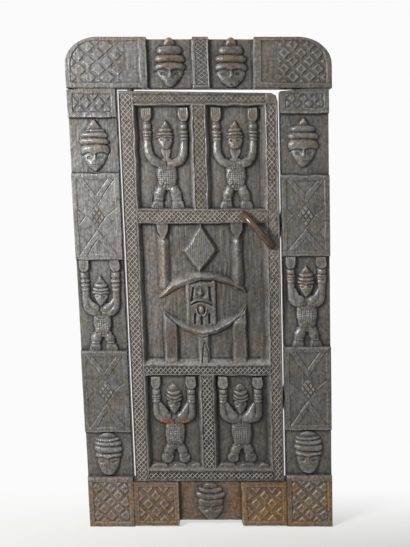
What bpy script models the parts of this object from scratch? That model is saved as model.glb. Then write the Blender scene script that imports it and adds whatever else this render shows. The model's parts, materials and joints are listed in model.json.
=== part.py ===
"""Carved wooden door: a leaf on two wooden pintles, hung in a pegged frame of jambs, lintel and sill.

Metres, +Z up. The carved front faces -Y and the flat back faces the wall at +Y. The origin is the
bottom centre of the whole door. Every board is laid out square, and the finished pieces then lean
sideways together by RACK, as the old frame does on its loosened joints.
"""

import math

import bmesh
import bpy
from mathutils import Vector
from mathutils.geometry import interpolate_bezier

# Frame, seen from the front
JAMB_HEIGHT = 1.579
OPENING_WIDTH = 0.562
JAMB_WIDTH = 0.167
LINTEL_HEIGHT = 0.1725
LINTEL_OVERHANG = 0.010
LINTEL_CORNER_WIDTH = 0.115
LINTEL_CORNER_HEIGHT = 0.091
SILL_HEIGHT = 0.168
SILL_LIFT = 0.004
SILL_BELLY_LIFT = 0.016
RACK = 0.031

# Bands of carving up each jamb, from the floor. The upper crossed block fills what the others leave.
BOTTOM_BLOCK = 0.186
LOWER_HEAD_BAY = 0.176
LOWER_CROSS_BLOCK = 0.311
FIGURE_BAY = 0.323
UPPER_HEAD_BAY = 0.193
TOP_BLOCK = 0.093

# Bands of carving along the lintel and the sill, from the left
LINTEL_LEFT_BLOCK = 0.276
LINTEL_HEAD_BAY = 0.152
LINTEL_MID_BLOCK = 0.061
SILL_END_BLOCK = 0.164

# Depths, front to back
LEAF_THICK = 0.040
HANDLE_REACH = 0.050
BACK_STEP = 0.020
JAMB_PROUD = 0.004
LINTEL_PROUD = 0.008
SILL_PROUD = 0.006
BAY_DEPTH = 0.015
FIELD_DEPTH = 0.004
PANEL_DEPTH = 0.020

# Leaf
LEAF_HINGE_GAP = 0.009
LEAF_LATCH_GAP = 0.011
LEAF_HEAD_GAP = 0.010
LEAF_FOOT_GAP = 0.003
LEAF_TOP_FALL = 0.006
LEAF_CHIP_WIDTH = 0.022
LEAF_CHIP_DROP = 0.031
LEAF_CHIP_BULGE = 0.27
HINGE_STILE = 0.057
LATCH_STILE = 0.056
MULLION = 0.044
TOP_RAIL = 0.048
MIDDLE_RAIL = 0.047
LOWER_RAIL = 0.037
BOTTOM_RAIL = 0.049
LOWER_PANEL = 0.351
MIDDLE_PANEL = 0.510
PANEL_DRAFT = 0.004
PANEL_LEDGE = 0.020

# Pintles, pegs and tenons
PINTLE_RADIUS = 0.0115
PINTLE_INSET = 0.041
PINTLE_IN_LEAF = 0.060
PINTLE_IN_FRAME = 0.032
PINTLE_DOME = 0.004
PEG_RADIUS = 0.007
PEG_LENGTH = 0.046
PEG_SPACING = 0.036
STOP_REACH = 0.025
STOP_IN_JAMB = 0.040
LOWER_STOP_HEIGHT = 0.478
UPPER_STOP_HEIGHT = 1.112
TENON_THICK = 0.024
HEAD_TENON_WIDTH = 0.092
HEAD_TENON_LENGTH = 0.078
SILL_TENON_HEIGHT = 0.062
SILL_TENON_LENGTH = 0.070
SHOULDER_DROP = 0.005
LEFT_SHOULDER_RUN = 0.045
RIGHT_SHOULDER_RUN = 0.078

# Handle
HANDLE_RADIUS = 0.0140
HANDLE_TENON_RADIUS = 0.0085
HANDLE_WAIST = 0.92
HANDLE_FLARE = 0.16
HANDLE_TOP_INSET = 0.121
HANDLE_TOP_RISE = 0.975
HANDLE_FOOT_INSET = 0.027
HANDLE_FOOT_RISE = 0.867
WEDGE_THICK = 0.003
WEDGE_DEPTH = 0.014

# Carving
RIM = 0.017
CROSS_BAND = 0.022
DIAMOND_PITCH_X = 0.046
DIAMOND_PITCH_Z = 0.046
DIAMOND_HALF_WIDTH = 0.0175
DIAMOND_HALF_HEIGHT = 0.0185
DIAMOND_DRAFT = 0.004
LOZENGE_DRAFT = 0.010
LINTEL_PLAIN_LEFT = 0.068
LINTEL_PLAIN_RIGHT = 0.072
LINTEL_BAY_DROP = 0.006
FIGURE_HEIGHT = 0.344
LEAF_HAND_ROOM = 0.033
JAMB_HAND_ROOM = 0.0295
FIGURE_HEAD_WIDTH = 0.064
FIGURE_HEAD_HEIGHT = 0.094
FIGURE_HEAD_RELIEF = 0.015
HEAD_RELIEF = 0.020
LINTEL_HEAD_WIDTH = 0.112
LINTEL_HEAD_HEIGHT = 0.170
JAMB_HEAD_WIDTH = 0.106
UPPER_HEAD_HEIGHT = 0.177
LOWER_HEAD_HEIGHT = 0.162
SILL_HEAD_WIDTH = 0.100
SILL_HEAD_HEIGHT = 0.146
CROSS_LOZENGE_WIDTH = 0.068
CROSS_LOZENGE_HEIGHT = 0.088
CROSS_WEDGE_WIDTH = 0.022
CROSS_WEDGE_HEIGHT = 0.052

# Clearances and modelling allowances
FIT = 0.0003
PEG_SINK = 0.001
BURY = 0.003
CUT_OVER = 0.010
CARVE_DRAFT = 0.0015

# Places worked out from the sizes above
UPPER_CROSS_BLOCK = (JAMB_HEIGHT - BOTTOM_BLOCK - LOWER_HEAD_BAY - LOWER_CROSS_BLOCK - FIGURE_BAY
                     - UPPER_HEAD_BAY - TOP_BLOCK)
LINTEL_BOTTOM = JAMB_HEIGHT + FIT
TOTAL_HEIGHT = LINTEL_BOTTOM + LINTEL_HEIGHT
HALF_OPENING = OPENING_WIDTH / 2
HALF_WIDTH = HALF_OPENING + JAMB_WIDTH
DEPTH = HANDLE_REACH + LEAF_THICK + BACK_STEP
LEAF_FRONT = HANDLE_REACH - DEPTH / 2
LEAF_BACK = LEAF_FRONT + LEAF_THICK
WALL = LEAF_BACK + BACK_STEP
PANEL_FLOOR = LEAF_FRONT + PANEL_DEPTH
SILL_TOP = SILL_LIFT + SILL_HEIGHT
LEAF_LEFT = -HALF_OPENING + LEAF_HINGE_GAP
LEAF_RIGHT = HALF_OPENING - LEAF_LATCH_GAP
LEAF_BOTTOM = SILL_TOP + LEAF_FOOT_GAP
LEAF_TOP = LINTEL_BOTTOM - LEAF_HEAD_GAP
AXIS_X = LEAF_LEFT + PINTLE_INSET
AXIS_Y = LEAF_FRONT + LEAF_THICK / 2
TENON_FRONT = AXIS_Y - TENON_THICK / 2
TENON_BACK = TENON_FRONT + TENON_THICK

# Sections of a raised band: how far across and how far up, as shares of its half width and height
ROUND = tuple((math.cos(math.radians(a)), math.sin(math.radians(a))) for a in (0, 45, 90, 135, 180))
FLAT = ((1, 0), (0.72, 1), (-0.72, 1), (-1, 0))


def solid(bm, name="piece"):
    """Turn a closed bmesh into an object with outward faces."""
    bmesh.ops.recalc_face_normals(bm, faces=bm.faces)
    mesh = bpy.data.meshes.new(name)
    bm.to_mesh(mesh)
    bm.free()
    thing = bpy.data.objects.new(name, mesh)
    bpy.context.collection.objects.link(thing)
    return thing


def loft(rings, name="piece"):
    """Skin a closed solid through rings of points and cap both ends."""
    bm = bmesh.new()
    loops = [[bm.verts.new(point) for point in ring] for ring in rings]
    for loop, following in zip(loops, loops[1:]):
        for i in range(len(loop)):
            j = (i + 1) % len(loop)
            bm.faces.new((loop[i], loop[j], following[j], following[i]))
    bm.faces.new(loops[0])
    bm.faces.new(loops[-1])
    return solid(bm, name)


def prism(outline, front, back, name="piece"):
    """Extrude an X-Z outline from front to back."""
    return loft([[(x, y, z) for x, z in outline] for y in (front, back)], name)


def rectangle(left, right, low, high):
    return [(left, low), (right, low), (right, high), (left, high)]


def box(left, right, front, back, low, high, name="piece"):
    return prism(rectangle(left, right, low, high), front, back, name)


def rod(start, end, radius, name="piece", sides=16, dome=0.0):
    """A round rod from start to end, its end drawn in to a low dome where one is asked for."""
    start = Vector(start)
    end = Vector(end)
    along = (end - start).normalized()
    across = along.orthogonal().normalized()
    other = along.cross(across)
    turns = [2 * math.pi * i / sides for i in range(sides)]
    stations = [(start, radius), (end - along * dome, radius)]
    if dome:
        stations += [(end - along * dome * 0.3, radius * 0.7), (end, radius * 0.2)]
    rings = []
    for centre, size in stations:
        rings.append([centre + (across * math.cos(t) + other * math.sin(t)) * size for t in turns])
    return loft(rings, name)


def combine(target, pieces, operation):
    """Join pieces to a board, or cut them out of it, and drop the tools."""
    for piece in pieces:
        step = target.modifiers.new(operation, "BOOLEAN")
        step.object = piece
        step.operation = operation
        graph = bpy.context.evaluated_depsgraph_get()
        merged = bpy.data.meshes.new_from_object(target.evaluated_get(graph))
        target.modifiers.remove(step)
        spare = target.data
        target.data = merged
        bpy.data.meshes.remove(spare)
        bpy.data.objects.remove(piece)
    return target


def racked(point):
    """Where a point of the square layout ends up in the leaning door."""
    return Vector((point[0] + RACK * (TOTAL_HEIGHT / 2 - point[2]), point[1], point[2]))


def finish(thing, name, colour, roughness, origin, parent=None):
    """Lean the piece, set its origin and give it its wood."""
    bm = bmesh.new()
    bm.from_mesh(thing.data)
    bmesh.ops.remove_doubles(bm, verts=bm.verts, dist=1e-6)
    place = racked(origin)
    for vert in bm.verts:
        vert.co = racked(vert.co) - place
    bm.to_mesh(thing.data)
    bm.free()
    thing.name = name
    thing.data.name = name
    thing.location = place
    if parent:
        thing.parent = parent
        thing.location = place - parent.location
    wood = bpy.data.materials.new(name + "_wood")
    wood.use_nodes = True
    shader = wood.node_tree.nodes["Principled BSDF"]
    shader.inputs["Base Color"].default_value = (*colour, 1.0)
    shader.inputs["Roughness"].default_value = roughness
    shader.inputs["Metallic"].default_value = 0.0
    thing.data.materials.clear()
    thing.data.materials.append(wood)
    print(name, len(thing.data.polygons), "faces")
    return thing


def ridge(path, widths, heights, floor, section=ROUND):
    """A raised band along an X-Z path, its foot buried under the floor that it is carved from."""
    rings = []
    last = len(path) - 1
    for i, (x, z) in enumerate(path):
        before = Vector(path[max(i - 1, 0)])
        after = Vector(path[min(i + 1, last)])
        along = (after - before).normalized()
        width = widths[i] if isinstance(widths, (list, tuple)) else widths
        height = heights[i] if isinstance(heights, (list, tuple)) else heights
        ring = []
        for across, up in section:
            ring.append((x - along.y * across * width, floor + BURY - up * (height + BURY),
                         z + along.x * across * width))
        rings.append(ring)
    return loft(rings)


def bend(start, first, second, end, count):
    """Points along a bent stroke, from Blender's own Bezier."""
    knots = [Vector((x, z, 0.0)) for x, z in (start, first, second, end)]
    return [(p.x, p.y) for p in interpolate_bezier(*knots, count)]


def raised(outline, floor, height, draft=CARVE_DRAFT):
    """A flat-topped form with sloped sides, standing on a floor."""
    middle = sum((Vector(p) for p in outline), Vector((0, 0))) / len(outline)
    reach = max((Vector(p) - middle).length for p in outline)
    top = [middle + (Vector(p) - middle) * (1 - draft / reach) for p in outline]
    return loft([[(x, floor + BURY, z) for x, z in outline], [(x, floor - height, z) for x, z in top]])


def pocket(left, right, low, high, face, floor, draft=CARVE_DRAFT, ledge=None):
    """A cutter for a sunk panel with sloped walls, and a broader slope at its foot where asked."""
    ledge = draft if ledge is None else ledge
    over = CUT_OVER / (floor - face)
    mouth = rectangle(left - draft * over, right + draft * over, low - ledge * over, high + draft * over)
    bed = rectangle(left + draft, right - draft, low + ledge, high - draft)
    return loft([[(x, face - CUT_OVER, z) for x, z in mouth], [(x, floor, z) for x, z in bed]])


def diamond(x, z, half_width, half_height):
    return [(x - half_width, z), (x, z - half_height), (x + half_width, z), (x, z + half_height)]


# The carved motifs. Each returns the pieces that are joined to its board.

def carved_head(x, top, width, height, floor, relief, features=True):
    """A stepped cap of rounded rings over a face that narrows to the chin, with nose and brows."""
    half = width / 2
    shape = ((0.00, 0.10, 0.30), (0.06, 0.34, 0.60), (0.12, 0.46, 0.66), (0.165, 0.44, 0.50),
             (0.20, 0.74, 0.76), (0.27, 0.88, 0.86), (0.345, 0.84, 0.60), (0.41, 1.00, 0.96),
             (0.485, 0.92, 0.66), (0.55, 1.00, 1.00), (0.64, 0.98, 0.95), (0.67, 0.94, 0.62),
             (0.76, 0.82, 0.74), (0.86, 0.56, 0.78), (0.94, 0.30, 0.68), (1.00, 0.08, 0.35))
    path = [(x, top - down * height) for down, across, up in shape]
    pieces = [ridge(path, [half * s[1] for s in shape], [relief * s[2] for s in shape], floor)]
    if not features:
        return pieces
    nose = [(x, top - 0.65 * height), (x, top - 0.74 * height), (x, top - 0.82 * height)]
    pieces.append(ridge(nose, [half * 0.07, half * 0.12, half * 0.20],
                        [relief * 0.92, relief * 1.02, relief * 1.0], floor, FLAT))
    for side in (-1, 1):
        brow = bend((x + side * half * 0.06, top - 0.675 * height),
                    (x + side * half * 0.25, top - 0.635 * height),
                    (x + side * half * 0.5, top - 0.635 * height),
                    (x + side * half * 0.70, top - 0.70 * height), 4)
        pieces.append(ridge(brow, half * 0.07, [relief * s for s in (0.95, 0.96, 0.88, 0.72)], floor, FLAT))
    return pieces


def figure_arm(x, top, side, reach, tall, floor):
    """Raised hand, wrist, two bracelets and the arm bent in to the shoulder, as one carved stroke."""
    out = x + side * reach
    hand = ((0.002, 0.017, 0.010), (0.024, 0.018, 0.012), (0.043, 0.0175, 0.012), (0.051, 0.011, 0.009),
            (0.070, 0.011, 0.010), (0.074, 0.0145, 0.0145), (0.093, 0.0145, 0.0145), (0.097, 0.012, 0.011),
            (0.101, 0.012, 0.011), (0.105, 0.0135, 0.014), (0.115, 0.0135, 0.014), (0.119, 0.0125, 0.012))
    path = [(out, top - down * tall) for down, across, up in hand]
    widths = [across for down, across, up in hand]
    heights = [up for down, across, up in hand]
    elbow = bend((out, top - 0.132 * tall), (out, top - 0.180 * tall),
                 (out - side * reach * 0.30, top - 0.198 * tall), (x + side * 0.004, top - 0.187 * tall), 6)
    path += elbow
    widths += [0.0130, 0.0135, 0.0150, 0.0160, 0.0160, 0.0120]
    heights += [0.0130, 0.0140, 0.0155, 0.0165, 0.0165, 0.0130]
    return ridge(path, widths, heights, floor)


def carved_figure(x, top, height, reach, floor, breasts=False):
    """A standing figure with both hands raised above a capped head, a round belly and spread legs."""
    tall = height / FIGURE_HEIGHT
    pieces = [figure_arm(x, top, side, reach, tall, floor) for side in (-1, 1)]
    pieces += carved_head(x, top - 0.043 * tall, FIGURE_HEAD_WIDTH, FIGURE_HEAD_HEIGHT * tall, floor,
                          FIGURE_HEAD_RELIEF, features=False)
    neck = ((0.130, 0.017, 0.009), (0.150, 0.013, 0.011), (0.166, 0.008, 0.011), (0.180, 0.004, 0.010))
    torso = ((0.197, 0.027, 0.012), (0.212, 0.036, 0.016), (0.230, 0.038, 0.0175), (0.248, 0.034, 0.016),
             (0.260, 0.026, 0.012), (0.266, 0.016, 0.009))
    for shape in (neck, torso):
        path = [(x, top - down * tall) for down, across, up in shape]
        pieces.append(ridge(path, [s[1] for s in shape], [s[2] for s in shape], floor))
    leg = ((0.012, 0.258, 0.010, 0.010), (0.018, 0.276, 0.017, 0.0155), (0.025, 0.297, 0.018, 0.0165),
           (0.028, 0.312, 0.014, 0.013), (0.029, 0.318, 0.018, 0.0125), (0.031, 0.342, 0.021, 0.010))
    for side in (-1, 1):
        path = [(x + side * out, top - down * tall) for out, down, across, up in leg]
        pieces.append(ridge(path, [s[2] for s in leg], [s[3] for s in leg], floor))
        if breasts:
            swell = ((0.202, 0.004, 0.014), (0.208, 0.011, 0.019), (0.217, 0.013, 0.020),
                     (0.227, 0.010, 0.019), (0.232, 0.003, 0.013))
            path = [(x + side * 0.030, top - down * tall) for down, across, up in swell]
            pieces.append(ridge(path, [s[1] for s in swell], [s[2] for s in swell], floor))
    return pieces


def diamond_field(left, right, low, high, floor):
    """Raised diamonds in staggered rows, centred on a sunk field."""
    pieces = []
    middle_x = (left + right) / 2
    middle_z = (low + high) / 2
    rows = int((high - low - 2 * DIAMOND_HALF_HEIGHT) / DIAMOND_PITCH_Z)
    for row in range(-rows, rows + 1):
        z = middle_z + row * DIAMOND_PITCH_Z / 2
        shift = DIAMOND_PITCH_X / 2 if (row + rows) % 2 else 0.0
        for column in range(-4, 5):
            x = middle_x + column * DIAMOND_PITCH_X + shift
            if left + DIAMOND_HALF_WIDTH < x < right - DIAMOND_HALF_WIDTH:
                shape = diamond(x, z, DIAMOND_HALF_WIDTH, DIAMOND_HALF_HEIGHT)
                pieces.append(raised(shape, floor, FIELD_DEPTH * 0.85, DIAMOND_DRAFT))
    return pieces


def cross_field(left, right, low, high, floor):
    """Two crossing bands, a lozenge where they meet and a small wedge at each side."""
    height = FIELD_DEPTH * 0.85
    x = (left + right) / 2
    z = (low + high) / 2
    inset = CROSS_BAND * 0.55
    corners = ((left + inset, low + inset, right - inset, high - inset),
               (left + inset, high - inset, right - inset, low + inset))
    pieces = [ridge([(a, b), (c, d)], CROSS_BAND / 2, height, floor, FLAT) for a, b, c, d in corners]
    shape = diamond(x, z, CROSS_LOZENGE_WIDTH / 2, CROSS_LOZENGE_HEIGHT / 2)
    pieces.append(raised(shape, floor, height + CARVE_DRAFT))
    for side in (-1, 1):
        edge = x + side * (right - left) / 2
        shape = [(edge, z - CROSS_WEDGE_HEIGHT / 2), (edge - side * CROSS_WEDGE_WIDTH, z),
                 (edge, z + CROSS_WEDGE_HEIGHT / 2)]
        pieces.append(raised(shape, floor, height * 0.8))
    return pieces


def lozenge_field(left, right, low, high, floor):
    """A row of two lozenges."""
    pieces = []
    half = (right - left) / 4
    for share in (0.25, 0.75):
        shape = diamond(left + (right - left) * share, (low + high) / 2, half * 0.86, (high - low) * 0.45)
        pieces.append(raised(shape, floor, FIELD_DEPTH * 0.85, LOZENGE_DRAFT))
    return pieces


def carved_block(board, left, right, low, high, face, pattern):
    """Sink a field inside a plain rim and carve its pattern."""
    floor = face + FIELD_DEPTH
    edges = (left + RIM, right - RIM, low + RIM, high - RIM)
    combine(board, [pocket(*edges, face, floor)], "DIFFERENCE")
    combine(board, pattern(*edges, floor), "UNION")


# The boards and the pieces that join them

def make_jamb(side):
    """One upright: blocks and sunk bays in a row, a tenon for the lintel and a mortise for the sill."""
    inner = side * HALF_OPENING
    outer = side * HALF_WIDTH
    left, right = min(inner, outer), max(inner, outer)
    face = LEAF_FRONT - JAMB_PROUD
    bay = face + BAY_DEPTH
    bands = ((BOTTOM_BLOCK, face), (LOWER_HEAD_BAY, bay), (LOWER_CROSS_BLOCK, face), (FIGURE_BAY, bay),
             (UPPER_CROSS_BLOCK, face), (UPPER_HEAD_BAY, bay), (TOP_BLOCK, face))
    steps = []
    low = 0.0
    for height, front in bands:
        steps += [(front, low), (front, low + height)]
        low += height
    profile = steps + [(WALL, JAMB_HEIGHT), (WALL, 0.0)]
    jamb = loft([[(x, y, z) for y, z in profile] for x in (left, right)])

    middle = (left + right) / 2
    run = RIGHT_SHOULDER_RUN if side > 0 else LEFT_SHOULDER_RUN
    open_side = left
    gap = [(open_side - FIT, JAMB_HEIGHT + FIT), (open_side - FIT, JAMB_HEIGHT - SHOULDER_DROP),
           (open_side + run, JAMB_HEIGHT + FIT)]
    half_tenon = HEAD_TENON_WIDTH / 2
    mortise = box(inner - side * CUT_OVER, inner + side * (SILL_TENON_LENGTH + FIT), TENON_FRONT - FIT,
                  TENON_BACK + FIT, sill_tenon_low() - FIT, sill_tenon_low() + SILL_TENON_HEIGHT + FIT)
    combine(jamb, [prism(gap, face - CUT_OVER, WALL + CUT_OVER), mortise], "DIFFERENCE")
    combine(jamb, [box(middle - half_tenon, middle + half_tenon, TENON_FRONT, TENON_BACK,
                       JAMB_HEIGHT - SHOULDER_DROP - BURY, JAMB_HEIGHT + HEAD_TENON_LENGTH)], "UNION")
    combine(jamb, peg_holes(head_pegs(side) + sill_pegs(side)), "DIFFERENCE")
    if side > 0:
        holes = [stop_peg(z, FIT) for z in (LOWER_STOP_HEIGHT, UPPER_STOP_HEIGHT)]
        combine(jamb, holes, "DIFFERENCE")

    tops = [sum(height for height, front in bands[:i]) for i in range(len(bands) + 1)]
    for top, room, height in ((tops[2], LOWER_HEAD_BAY, LOWER_HEAD_HEIGHT),
                              (tops[6], UPPER_HEAD_BAY, UPPER_HEAD_HEIGHT)):
        top -= (room - height) / 2
        combine(jamb, carved_head(middle, top, JAMB_HEAD_WIDTH, height, bay, HEAD_RELIEF), "UNION")
    reach = JAMB_WIDTH / 2 - JAMB_HAND_ROOM
    combine(jamb, carved_figure(middle, tops[4], FIGURE_BAY, reach, bay), "UNION")
    carved_block(jamb, left, right, tops[0], tops[1], face, diamond_field)
    carved_block(jamb, left, right, tops[2], tops[3], face, cross_field)
    carved_block(jamb, left, right, tops[4], tops[5], face, cross_field)
    carved_block(jamb, left, right, tops[6], tops[7], face, lozenge_field)
    return jamb


def make_lintel():
    """The head board with rounded shoulders, two sunk bays with a head each, and carved end blocks."""
    face = LEAF_FRONT - LINTEL_PROUD
    left = -HALF_WIDTH
    right = HALF_WIDTH + LINTEL_OVERHANG
    turns = [math.radians(15 * i) for i in range(7)]
    across = LINTEL_CORNER_WIDTH
    up = LINTEL_CORNER_HEIGHT
    outline = [(left, LINTEL_BOTTOM), (right, LINTEL_BOTTOM)]
    outline += [(right - across + across * math.cos(t), TOTAL_HEIGHT - up + up * math.sin(t)) for t in turns]
    outline += [(left + across - across * math.sin(t), TOTAL_HEIGHT - up + up * math.cos(t)) for t in turns]
    lintel = prism(outline, face, WALL)

    first = left + LINTEL_LEFT_BLOCK
    second = first + LINTEL_HEAD_BAY + LINTEL_MID_BLOCK
    bay = face + BAY_DEPTH
    for start in (first, second):
        cutter = box(start, start + LINTEL_HEAD_BAY, face - CUT_OVER, bay, LINTEL_BOTTOM - CUT_OVER,
                     TOTAL_HEIGHT + CUT_OVER)
        notch = box(start, start + LINTEL_HEAD_BAY, face - CUT_OVER, WALL + CUT_OVER,
                    TOTAL_HEIGHT - LINTEL_BAY_DROP, TOTAL_HEIGHT + CUT_OVER)
        combine(lintel, [cutter, notch], "DIFFERENCE")
    for side in (-1, 1):
        middle = side * (HALF_OPENING + HALF_WIDTH) / 2
        half = HEAD_TENON_WIDTH / 2 + FIT
        mortise = box(middle - half, middle + half, TENON_FRONT - FIT, TENON_BACK + FIT,
                      LINTEL_BOTTOM - CUT_OVER, JAMB_HEIGHT + HEAD_TENON_LENGTH + FIT)
        combine(lintel, [mortise] + peg_holes(head_pegs(side)), "DIFFERENCE")
    combine(lintel, [rod((AXIS_X, AXIS_Y, LINTEL_BOTTOM - CUT_OVER),
                         (AXIS_X, AXIS_Y, LINTEL_BOTTOM + PINTLE_IN_FRAME + PINTLE_DOME),
                         PINTLE_RADIUS + FIT, sides=24)], "DIFFERENCE")

    for start in (first, second):
        head = carved_head(start + LINTEL_HEAD_BAY / 2, TOTAL_HEIGHT, LINTEL_HEAD_WIDTH,
                           LINTEL_HEAD_HEIGHT, bay, HEAD_RELIEF)
        combine(lintel, head, "UNION")
    fields = ((left, first - LINTEL_PLAIN_LEFT), (second + LINTEL_HEAD_BAY + LINTEL_PLAIN_RIGHT, right))
    for start, end in fields:
        carved_block(lintel, start, end, LINTEL_BOTTOM, TOTAL_HEIGHT, face, diamond_field)
    return lintel


def sill_tenon_low():
    return SILL_LIFT + (SILL_HEIGHT - SILL_TENON_HEIGHT) / 2


def make_sill():
    """The foot board between the jambs: carved end blocks, a sunk middle with a head, two tenons."""
    face = LEAF_FRONT - SILL_PROUD
    left = -HALF_OPENING + FIT
    right = HALF_OPENING - FIT
    bay = face + BAY_DEPTH
    inner_left = left + SILL_END_BLOCK
    inner_right = right - SILL_END_BLOCK
    sill = box(left, right, face, WALL, SILL_LIFT, SILL_TOP)
    low = sill_tenon_low()
    tenon = box(-HALF_OPENING - SILL_TENON_LENGTH, HALF_OPENING + SILL_TENON_LENGTH, TENON_FRONT, TENON_BACK,
                low, low + SILL_TENON_HEIGHT)
    combine(sill, [tenon], "UNION")
    middle = box(inner_left, inner_right, face - CUT_OVER, bay, SILL_LIFT - CUT_OVER, SILL_TOP + CUT_OVER)
    belly = box(inner_left, inner_right, face - CUT_OVER, WALL + CUT_OVER, SILL_LIFT - CUT_OVER,
                SILL_LIFT + SILL_BELLY_LIFT)
    socket = rod((AXIS_X, AXIS_Y, SILL_TOP + CUT_OVER), (AXIS_X, AXIS_Y, SILL_TOP - PINTLE_IN_FRAME),
                 PINTLE_RADIUS + FIT, sides=24)
    combine(sill, [middle, belly, socket], "DIFFERENCE")
    combine(sill, peg_holes(sill_pegs(-1) + sill_pegs(1)), "DIFFERENCE")
    combine(sill, carved_head(0.0, SILL_TOP - LEAF_FOOT_GAP, SILL_HEAD_WIDTH, SILL_HEAD_HEIGHT, bay,
                              HEAD_RELIEF), "UNION")
    carved_block(sill, left, inner_left, SILL_LIFT, SILL_TOP, face, diamond_field)
    carved_block(sill, inner_right, right, SILL_LIFT, SILL_TOP, face, diamond_field)
    return sill


def middle_panel(left, right, low, high, floor):
    """Lozenge, flared uprights, arch and bowl on legs, with a small figure inside."""
    half = (right - left) / 2
    tall = high - low

    def place(across, down):
        return (left + half * (1 + across), high - tall * down)

    tip, side = place(-0.064, 0.178), (half * 0.28, tall * 0.171)
    pieces = [raised(diamond(*tip, *side), floor, 0.013, 0.014)]
    post = ((0.012, 0.029, 0.010), (0.050, 0.028, 0.012), (0.100, 0.023, 0.014), (0.300, 0.023, 0.014),
            (0.445, 0.024, 0.013))
    for out in (-0.640, 0.540):
        path = [place(out, down) for down, across, up in post]
        pieces.append(ridge(path, [s[1] for s in post], [s[2] for s in post], floor))
    arch = ((-0.733, 0.518, 0.003, 0.008), (-0.640, 0.487, 0.014, 0.015), (-0.532, 0.447, 0.021, 0.016),
            (-0.330, 0.404, 0.023, 0.017), (-0.042, 0.371, 0.0185, 0.017), (0.188, 0.376, 0.018, 0.017),
            (0.447, 0.411, 0.017, 0.016), (0.648, 0.459, 0.010, 0.015), (0.695, 0.484, 0.003, 0.008))
    bowl = ((-0.662, 0.627, 0.003, 0.008), (-0.474, 0.714, 0.0105, 0.015), (-0.330, 0.757, 0.014, 0.016),
            (-0.042, 0.797, 0.0155, 0.017), (0.159, 0.780, 0.016, 0.017), (0.418, 0.728, 0.017, 0.016),
            (0.576, 0.664, 0.012, 0.015), (0.692, 0.583, 0.003, 0.008))
    for curve in (arch, bowl):
        path = [place(across, down) for across, down, width, up in curve]
        pieces.append(ridge(path, [s[2] for s in curve], [s[3] for s in curve], floor))
    for out, start, thick in ((-0.553, 0.690, 0.023), (-0.006, 0.800, 0.017), (0.547, 0.690, 0.021)):
        path = [place(out, down) for down in (start, 0.843, 0.988)]
        pieces.append(ridge(path, [thick * 0.9, thick, thick], 0.013, floor))
    middle = -0.056
    for side in (-1, 1):
        rib = [place(middle + side * 0.212, down) for down in (0.430, 0.560, 0.700)]
        pieces.append(ridge(rib, 0.008, 0.011, floor))
        leg = [place(middle + side * 0.050, down) for down in (0.640, 0.735)]
        pieces.append(ridge(leg, 0.007, 0.010, floor))
    face = [place(middle, down) for down in (0.455, 0.489, 0.523)]
    pieces.append(ridge(face, [0.003, 0.014, 0.003], 0.013, floor))
    brow = bend(place(-0.214, 0.562), place(-0.110, 0.536), place(0.000, 0.536), place(0.114, 0.562), 5)
    pieces.append(ridge(brow, 0.007, 0.012, floor))
    belly = ((0.577, 0.006, 0.010), (0.592, 0.014, 0.015), (0.617, 0.015, 0.016), (0.640, 0.008, 0.011))
    path = [place(middle, down) for down, across, up in belly]
    pieces.append(ridge(path, [s[1] for s in belly], [s[2] for s in belly], floor))
    return pieces


def make_leaf():
    """The plank that turns: five sunk panels, the figures left standing in them, holes for its fittings."""
    right_top = LEAF_TOP - LEAF_TOP_FALL
    outline = [(LEAF_LEFT, LEAF_BOTTOM), (LEAF_RIGHT, LEAF_BOTTOM), (LEAF_RIGHT, right_top - LEAF_CHIP_DROP),
               (LEAF_RIGHT - LEAF_CHIP_BULGE * LEAF_CHIP_WIDTH, right_top - LEAF_CHIP_BULGE * LEAF_CHIP_DROP),
               (LEAF_RIGHT - LEAF_CHIP_WIDTH, right_top), (LEAF_LEFT, LEAF_TOP)]
    leaf = prism(outline, LEAF_FRONT, LEAF_BACK)
    left = LEAF_LEFT + HINGE_STILE
    right = LEAF_RIGHT - LATCH_STILE
    centre = (left + right) / 2
    lower = LEAF_BOTTOM + BOTTOM_RAIL
    middle = lower + LOWER_PANEL + LOWER_RAIL
    upper = middle + MIDDLE_PANEL + MIDDLE_RAIL
    upper_top = LEAF_TOP - TOP_RAIL
    bays = ((left, centre - MULLION / 2), (centre + MULLION / 2, right))
    cutters = [pocket(left, right, middle, middle + MIDDLE_PANEL, LEAF_FRONT, PANEL_FLOOR, PANEL_DRAFT,
                      PANEL_LEDGE)]
    for start, end in bays:
        cutters.append(pocket(start, end, lower, lower + LOWER_PANEL, LEAF_FRONT, PANEL_FLOOR, PANEL_DRAFT,
                              PANEL_LEDGE))
        cutters.append(pocket(start, end, upper, upper_top, LEAF_FRONT, PANEL_FLOOR, PANEL_DRAFT))
    combine(leaf, cutters, "DIFFERENCE")

    for start, end in bays:
        x = (start + end) / 2
        reach = (end - start) / 2 - LEAF_HAND_ROOM
        upper_figure = carved_figure(x, upper_top - PANEL_DRAFT, upper_top - upper - PANEL_DRAFT, reach,
                                     PANEL_FLOOR)
        combine(leaf, upper_figure, "UNION")
        lower_figure = carved_figure(x, lower + LOWER_PANEL - PANEL_DRAFT, LOWER_PANEL - PANEL_LEDGE / 2,
                                     reach, PANEL_FLOOR, breasts=start < centre)
        combine(leaf, lower_figure, "UNION")
    combine(leaf, middle_panel(left, right, middle, middle + MIDDLE_PANEL, PANEL_FLOOR), "UNION")
    holes = [pintle(up, FIT) for up in (True, False)]
    holes += [rod((x, LEAF_FRONT - CUT_OVER, z), (x, LEAF_BACK + CUT_OVER, z), HANDLE_TENON_RADIUS + FIT)
              for x, z in handle_feet()]
    return combine(leaf, holes, "DIFFERENCE")


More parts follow.
